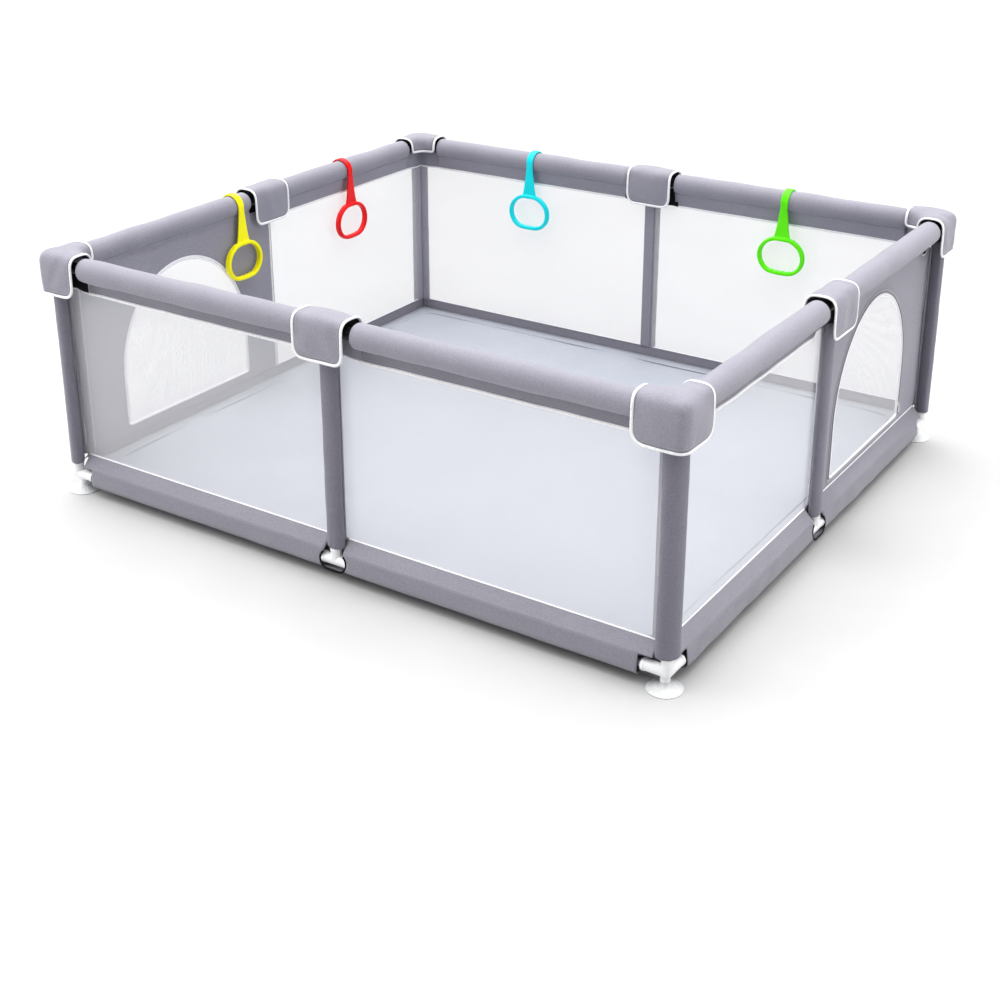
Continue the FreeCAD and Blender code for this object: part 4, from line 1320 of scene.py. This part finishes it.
def handle_parts():
    """Point grids of one handle, in its side's frame about the rail axis."""
    inner = PAD_R + HANDLE_PLAY
    middle_y = -(inner + 0.002)
    a = np.linspace(0, 2 * math.pi, 120)
    wide, high = RING_HALF - RING_BAR / 2, RING_RISE - RING_BAR / 2
    flat = RING_FLAT - RING_BAR / 2
    t, z = wide * np.cos(a), high * np.sin(a)
    soft = 0.005
    z = soft * np.log1p(np.exp((z + flat) / soft)) - flat
    z -= 0.004 * np.exp(-(t / 0.024) ** 2) * (np.sin(a) > 0)
    path = stack(t, z)
    ahead = np.gradient(path, axis=0)
    ahead /= np.linalg.norm(ahead, axis=1)[:, None]
    out = stack(ahead[:, 1], -ahead[:, 0])
    section = rounded_section(RING_BAR, RING_DEPTH, 0.0036)
    grip = 0.0012 * np.cos(t * 2 * math.pi / 0.019) * (np.abs(t) < 0.040) * (z < 0)
    rows = []
    for i in range(len(a)):
        reach = section[:, 0] + grip[i] * (section[:, 0] < 0)
        spot = path[i] + out[i] * reach[:, None]
        rows.append(stack(spot[:, 0], middle_y + section[:, 1], RING_Z + spot[:, 1]))
    ring = np.array(rows)
    top_z = RAIL_Z - 0.012
    foot_z = RING_Z + RING_RISE - RING_BAR * 0.8
    shank = []
    for k in np.linspace(0, 1, 30):
        half = HANDLE_WIDTH / 2 - 0.001 + (SHANK_FOOT / 2 - HANDLE_WIDTH / 2) * (0.75 * k + 0.25 * k ** 5)
        outline = rounded_section(2 * half, 0.0046, 0.0016)
        shank.append(stack(outline[:, 0], middle_y + outline[:, 1], top_z + (foot_z - top_z) * k))
    hook = []
    angles = np.linspace(0, HOOK_END, 60)
    drop = np.linspace(0.020, 0, 8)[:-1]
    fine = np.concatenate([
        stack(np.linspace(-HANDLE_WIDTH / 2, HANDLE_WIDTH / 2, 37), 0.0),
        stack(np.linspace(HANDLE_WIDTH / 2, -HANDLE_WIDTH / 2, 37), 1.0),
    ])
    places = [("down", d) for d in drop] + [("round", x) for x in angles]
    for kind, value in places:
        v = fine[:, 0]
        rib = 0.0016 * (0.5 + 0.5 * np.cos(v * 2 * math.pi / (HANDLE_WIDTH / 3)))
        edge = np.clip((HANDLE_WIDTH / 2 - np.abs(v)) / 0.0012, 0, 1) ** 0.5
        r = np.where(fine[:, 1] < 0.5, inner + 0.0010 * (1 - edge),
                     inner + STRAP - 0.0008 + rib * edge - 0.001 * (1 - edge))
        if kind == "down":
            hook.append(stack(v, -r, RAIL_Z - value))
        else:
            taper = 1 - 0.25 * np.clip((value - HOOK_END + 0.3) / 0.3, 0, 1)
            hook.append(stack(v * taper, -r * math.cos(value), RAIL_Z + r * math.sin(value)))
    return ring, np.array(shank), np.array(hook)


def pull_handle(colour, side):
    low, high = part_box("pull_handle_" + colour)
    along = (low[0] + high[0]) / 2 if side == "back" else (low[1] + high[1]) / 2
    ring, shank, hook = handle_parts()
    shift = np.array([along, 0, 0])
    parts = [grid("part", on_side(ring + shift, side), M[colour], wrap=True),
             grid("part", on_side(capped(shank) + shift, side), M[colour], wrap=True),
             grid("part", on_side(capped(hook) + shift, side), M[colour], wrap=True)]
    for part in parts:
        weld(part, 1e-6)
    obj = parts[0]
    with bpy.context.temp_override(active_object=obj, selected_editable_objects=parts):
        bpy.ops.object.join()
    obj.name = "handle_" + colour
    remesh = obj.modifiers.new("one moulding", "REMESH")
    remesh.mode = "VOXEL"
    remesh.voxel_size = 0.0013
    remesh.use_smooth_shade = True
    soften = obj.modifiers.new("soften", "SMOOTH")
    soften.factor = 0.5
    soften.iterations = 4
    graph = bpy.context.evaluated_depsgraph_get()
    mesh = bpy.data.meshes.new_from_object(obj.evaluated_get(graph))
    obj.modifiers.clear()
    obj.data = mesh
    mesh.polygons.foreach_set("use_smooth", [True] * len(mesh.polygons))
    piece(obj, "pull_handle_" + colour, colour + "_plastic", "pull_handle_" + colour)


for colour, side in HANDLES.items():
    pull_handle(colour, side)

run_simulations()


# ---- stage, light and camera ----

def stage():
    """A pale floor that runs past the view. The soft lights and the photograph's viewpoint are set up after it."""
    floor = bpy.data.meshes.new("ground")
    size = 400.0
    floor.from_pydata([(-size, -size, 0), (size, -size, 0), (size, size, 0), (-size, size, 0)], [],
                      [(0, 1, 2, 3)])
    ground = bpy.data.objects.new("ground", floor)
    bpy.context.scene.collection.objects.link(ground)
    n = Nodes("ground_white")
    tone = n.ramp(n.noise(3.0), [(0.3, (0.48, 0.48, 0.48, 1)), (0.7, (0.50, 0.50, 0.50, 1))])
    n.link(tone, n.shader.inputs["Base Color"])
    n.set(Roughness=0.9, Specular_IOR_Level=0.1)
    floor.materials.append(n.material)


def soft_light(name, place, aim, size, power):
    light = bpy.data.lights.new(name, "AREA")
    light.shape = "RECTANGLE"
    light.size, light.size_y = size
    light.energy = power
    obj = bpy.data.objects.new(name, light)
    obj.location = place
    obj.rotation_euler = (Vector(aim) - Vector(place)).to_track_quat("-Z", "Y").to_euler()
    bpy.context.scene.collection.objects.link(obj)


stage()
scene = bpy.context.scene
scene.view_settings.view_transform = "Standard"
world = bpy.data.worlds.new("studio")
scene.world = world
world.use_nodes = True
tree = world.node_tree
up = tree.nodes.new("ShaderNodeSeparateXYZ")
tree.links.new(tree.nodes.new("ShaderNodeTexCoord").outputs["Generated"], up.inputs[0])


def world_math(operation, a, b, c=0.0):
    node = tree.nodes.new("ShaderNodeMath")
    node.operation = operation
    for socket, value in zip(node.inputs, (a, b, c)):
        if isinstance(value, float):
            socket.default_value = value
        else:
            tree.links.new(value, socket)
    return node.outputs[0]


# A sky that is brightest overhead, as under a large softbox.
lean = world_math("MULTIPLY_ADD", up.outputs["X"], -0.20, world_math("MULTIPLY", up.outputs["Y"], 0.14))
aim = world_math("MULTIPLY_ADD", up.outputs["Z"], 0.96, lean)
overhead = world_math("POWER", world_math("MAXIMUM", aim, 0.0), 3.0)
tree.links.new(world_math("MULTIPLY_ADD", overhead, 5.6, 0.12), tree.nodes["Background"].inputs["Strength"])
tree.nodes["Background"].inputs["Color"].default_value = (1, 1, 1, 1)
soft_light("right", (5.6, 1.5, 2.2), (0, 0, 0.4), (3.5, 2.5), 105)
soft_light("left", (-4.8, -4.2, 2.2), (0, 0, 0.4), (3.5, 2.5), 110)

CAMERA_PLACE = (2.26529, -3.54855, 1.95853)
CAMERA_HEADING = 33.985         # degrees, from +Y towards -X
CAMERA_TILT = 21.081            # degrees below level
CAMERA_ROLL = -0.285
camera = bpy.data.cameras.new("camera")
camera.lens = 55.44
camera.sensor_width = 36.0
camera.shift_x = 0.02147
camera.shift_y = -0.14237
camera.clip_end = 2000.0
view = bpy.data.objects.new("camera", camera)
view.matrix_world = (Matrix.Translation(CAMERA_PLACE) @ Matrix.Rotation(math.radians(CAMERA_HEADING), 4, "Z")
                     @ Matrix.Rotation(math.radians(90 - CAMERA_TILT), 4, "X")
                     @ Matrix.Rotation(math.radians(CAMERA_ROLL), 4, "Z"))
scene.collection.objects.link(view)
scene.camera = view

bpy.context.view_layer.update()
